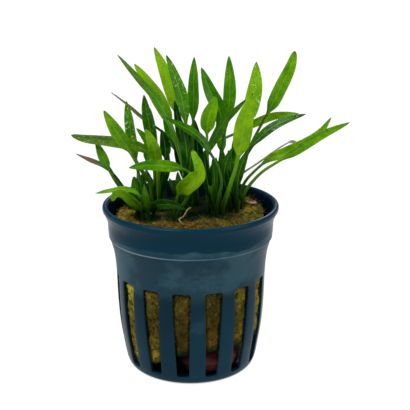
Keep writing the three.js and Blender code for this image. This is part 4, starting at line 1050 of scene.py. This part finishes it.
def loose_root(material):
    """A pale root that curls over the wool, and thins towards its far end."""
    line = spline(ROOT_ROUTE, ROOT_STEPS)
    shares = np.linspace(0, 1, len(line))
    places, ways = sample_line(line, shares)
    points = []
    side = ways[0].cross(Vector((0, 0, 1))).normalized()
    for share, place, way in zip(shares, places, ways):
        side = (side - way * side.dot(way)).normalized()
        up = way.cross(side)
        radius = ROOT_RADIUS * (1 - 0.35 * share + 0.06 * math.sin(40 * share))
        for a in turns(ROOT_SIDES):
            points.append(tuple(Vector(place) + (side * math.cos(a) + up * math.sin(a)) * radius))
    faces = closed_loft(points, len(line), ROOT_SIDES, tuple(places[0]), tuple(places[-1]))
    root = add_mesh("root_strand", points, faces, material)
    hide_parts("loose_root")


def dry_flake(material):
    """A curled scrap of dead leaf with a ragged edge."""
    rows, columns = 14, 11
    tilt = Quaternion((1, 0, 0), math.radians(FLAKE_TILT))
    heading = Quaternion((0, 0, 1), math.radians(FLAKE_HEADING)) @ tilt
    centre = Vector((FLAKE_X, FLAKE_Y, wool_top(FLAKE_X, FLAKE_Y) + FLAKE_LIFT))
    points = []
    for side in (1, -1):
        for i in range(rows):
            for j in range(columns):
                u, v = 2 * i / (rows - 1) - 1, 2 * j / (columns - 1) - 1
                ragged = 1 + 0.16 * noise.noise(Vector((3 * u, 3 * v, 2)))
                half = FLAKE_WIDTH / 2 * math.sqrt(max(0.02, 1 - u * u)) * ragged
                curl = 0.35 * v * v - 0.2 * u * u + 0.15 * noise.noise(Vector((2 * u, 2 * v, 9)))
                flat = Vector((FLAKE_LENGTH / 2 * u, half * v, curl + side * FLAKE_HALF_THICKNESS))
                points.append(tuple(centre + heading @ flat))
    grid = np.arange(rows * columns).reshape(rows, columns)
    corners = (grid[:-1, :-1], grid[1:, :-1], grid[1:, 1:], grid[:-1, 1:])
    under = grid.size
    faces = []
    for a, b, c, d in zip(*(corner.ravel().tolist() for corner in corners)):
        faces += [(a, b, c, d), (under + d, under + c, under + b, under + a)]
    edge = np.concatenate([grid[0], grid[1:, -1], grid[-1, -2::-1], grid[-2:0:-1, 0]]).tolist()
    for a, b in zip(edge, edge[1:] + edge[:1]):
        faces.append((a, b, under + b, under + a))
    flake = add_mesh("flake_curled", points, faces, material)
    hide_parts("dry_flake")


# Stage, light and camera

def stage():
    """A white floor that glows, so that the background has no horizon. It is dark under the pot, where no
    light reaches."""
    bpy.ops.mesh.primitive_circle_add(
        vertices=96, radius=FLOOR_RADIUS, fill_type="NGON", location=(0, 0, -FLOOR_DROP)
    )
    floor = bpy.context.object
    floor.name = "floor"
    black, white = (0, 0, 0, 1), (1, 1, 1, 1)
    g = Graph("floor_white", Roughness=1, Specular_IOR_Level=0, Base_Color=black, Emission_Color=white)
    reach = g.node("ShaderNodeVectorMath", {0: g.place()}, "Value", operation="LENGTH")
    foot_inside, foot_outside = (POT_OUTSIDE[0][0] - 0.5) * MM, POT_OUTSIDE[1][0] * MM
    g.drive("Emission Strength", g.spread(reach, foot_inside, foot_outside, 0, FLOOR_GLOW))
    floor.data.materials.append(g.material)

    world = bpy.data.worlds.new("studio")
    bpy.context.scene.world = world
    world.use_nodes = True
    background = world.node_tree.nodes["Background"].inputs
    background["Color"].default_value = white
    background["Strength"].default_value = WORLD_GLOW


def soft_light(name, place, size, power):
    data = bpy.data.lights.new(name, "AREA")
    data.shape = "DISK"
    data.size = size
    data.energy = power
    light = bpy.data.objects.new(name, data)
    light.location = place
    light.rotation_euler = (Vector(LIGHT_AIM) - Vector(place)).to_track_quat("-Z", "Y").to_euler()
    bpy.context.scene.collection.objects.link(light)


def camera():
    data = bpy.data.cameras.new("camera")
    data.sensor_width = SENSOR_MM
    data.lens = FOCAL_PIXELS * SENSOR_MM / PHOTO_PIXELS
    data.clip_start, data.clip_end = 0.01, 20
    lens = bpy.data.objects.new("camera", data)
    tilt = math.radians(CAMERA_ELEVATION)
    target = Vector(CAMERA_TARGET) * MM
    lens.location = target + Vector((0, -math.cos(tilt), math.sin(tilt))) * CAMERA_DISTANCE * MM
    lens.rotation_euler = (target - lens.location).to_track_quat("-Z", "Y").to_euler()
    bpy.context.scene.collection.objects.link(lens)
    bpy.context.scene.camera = lens


def main():
    camera()
    stage()
    for light in LIGHTS:
        soft_light(*light)
    bpy.context.scene.view_settings.view_transform = "Standard"

    materials = {
        "leaf": leaf_material(),
        "dead_leaf": dry_material("dead_leaf", (150, 148, 130), (84, 84, 66), 300),
        "crown": dry_material("crown", (40, 66, 24), (14, 26, 14), 260),
    }
    pot_mesh(pot_material())
    wool_mesh(wool_material("wool"))
    wool_fibres(wool_material("wool_fibre", lift=20))
    clay_mesh(clay_material())
    draw = random.Random(PLANT_SEED)
    for crown, rows in LEAVES.items():
        crown_mesh(crown, materials, draw)
        for number, row in enumerate(rows, 1):
            leaf_mesh(f"leaf_{crown}_{number}", crown, row, materials, draw)
    loose_root(dry_material("root", (140, 124, 78), (96, 80, 44), 400))
    dry_flake(dry_material("flake", (196, 150, 124), (120, 78, 56), 500))


main()
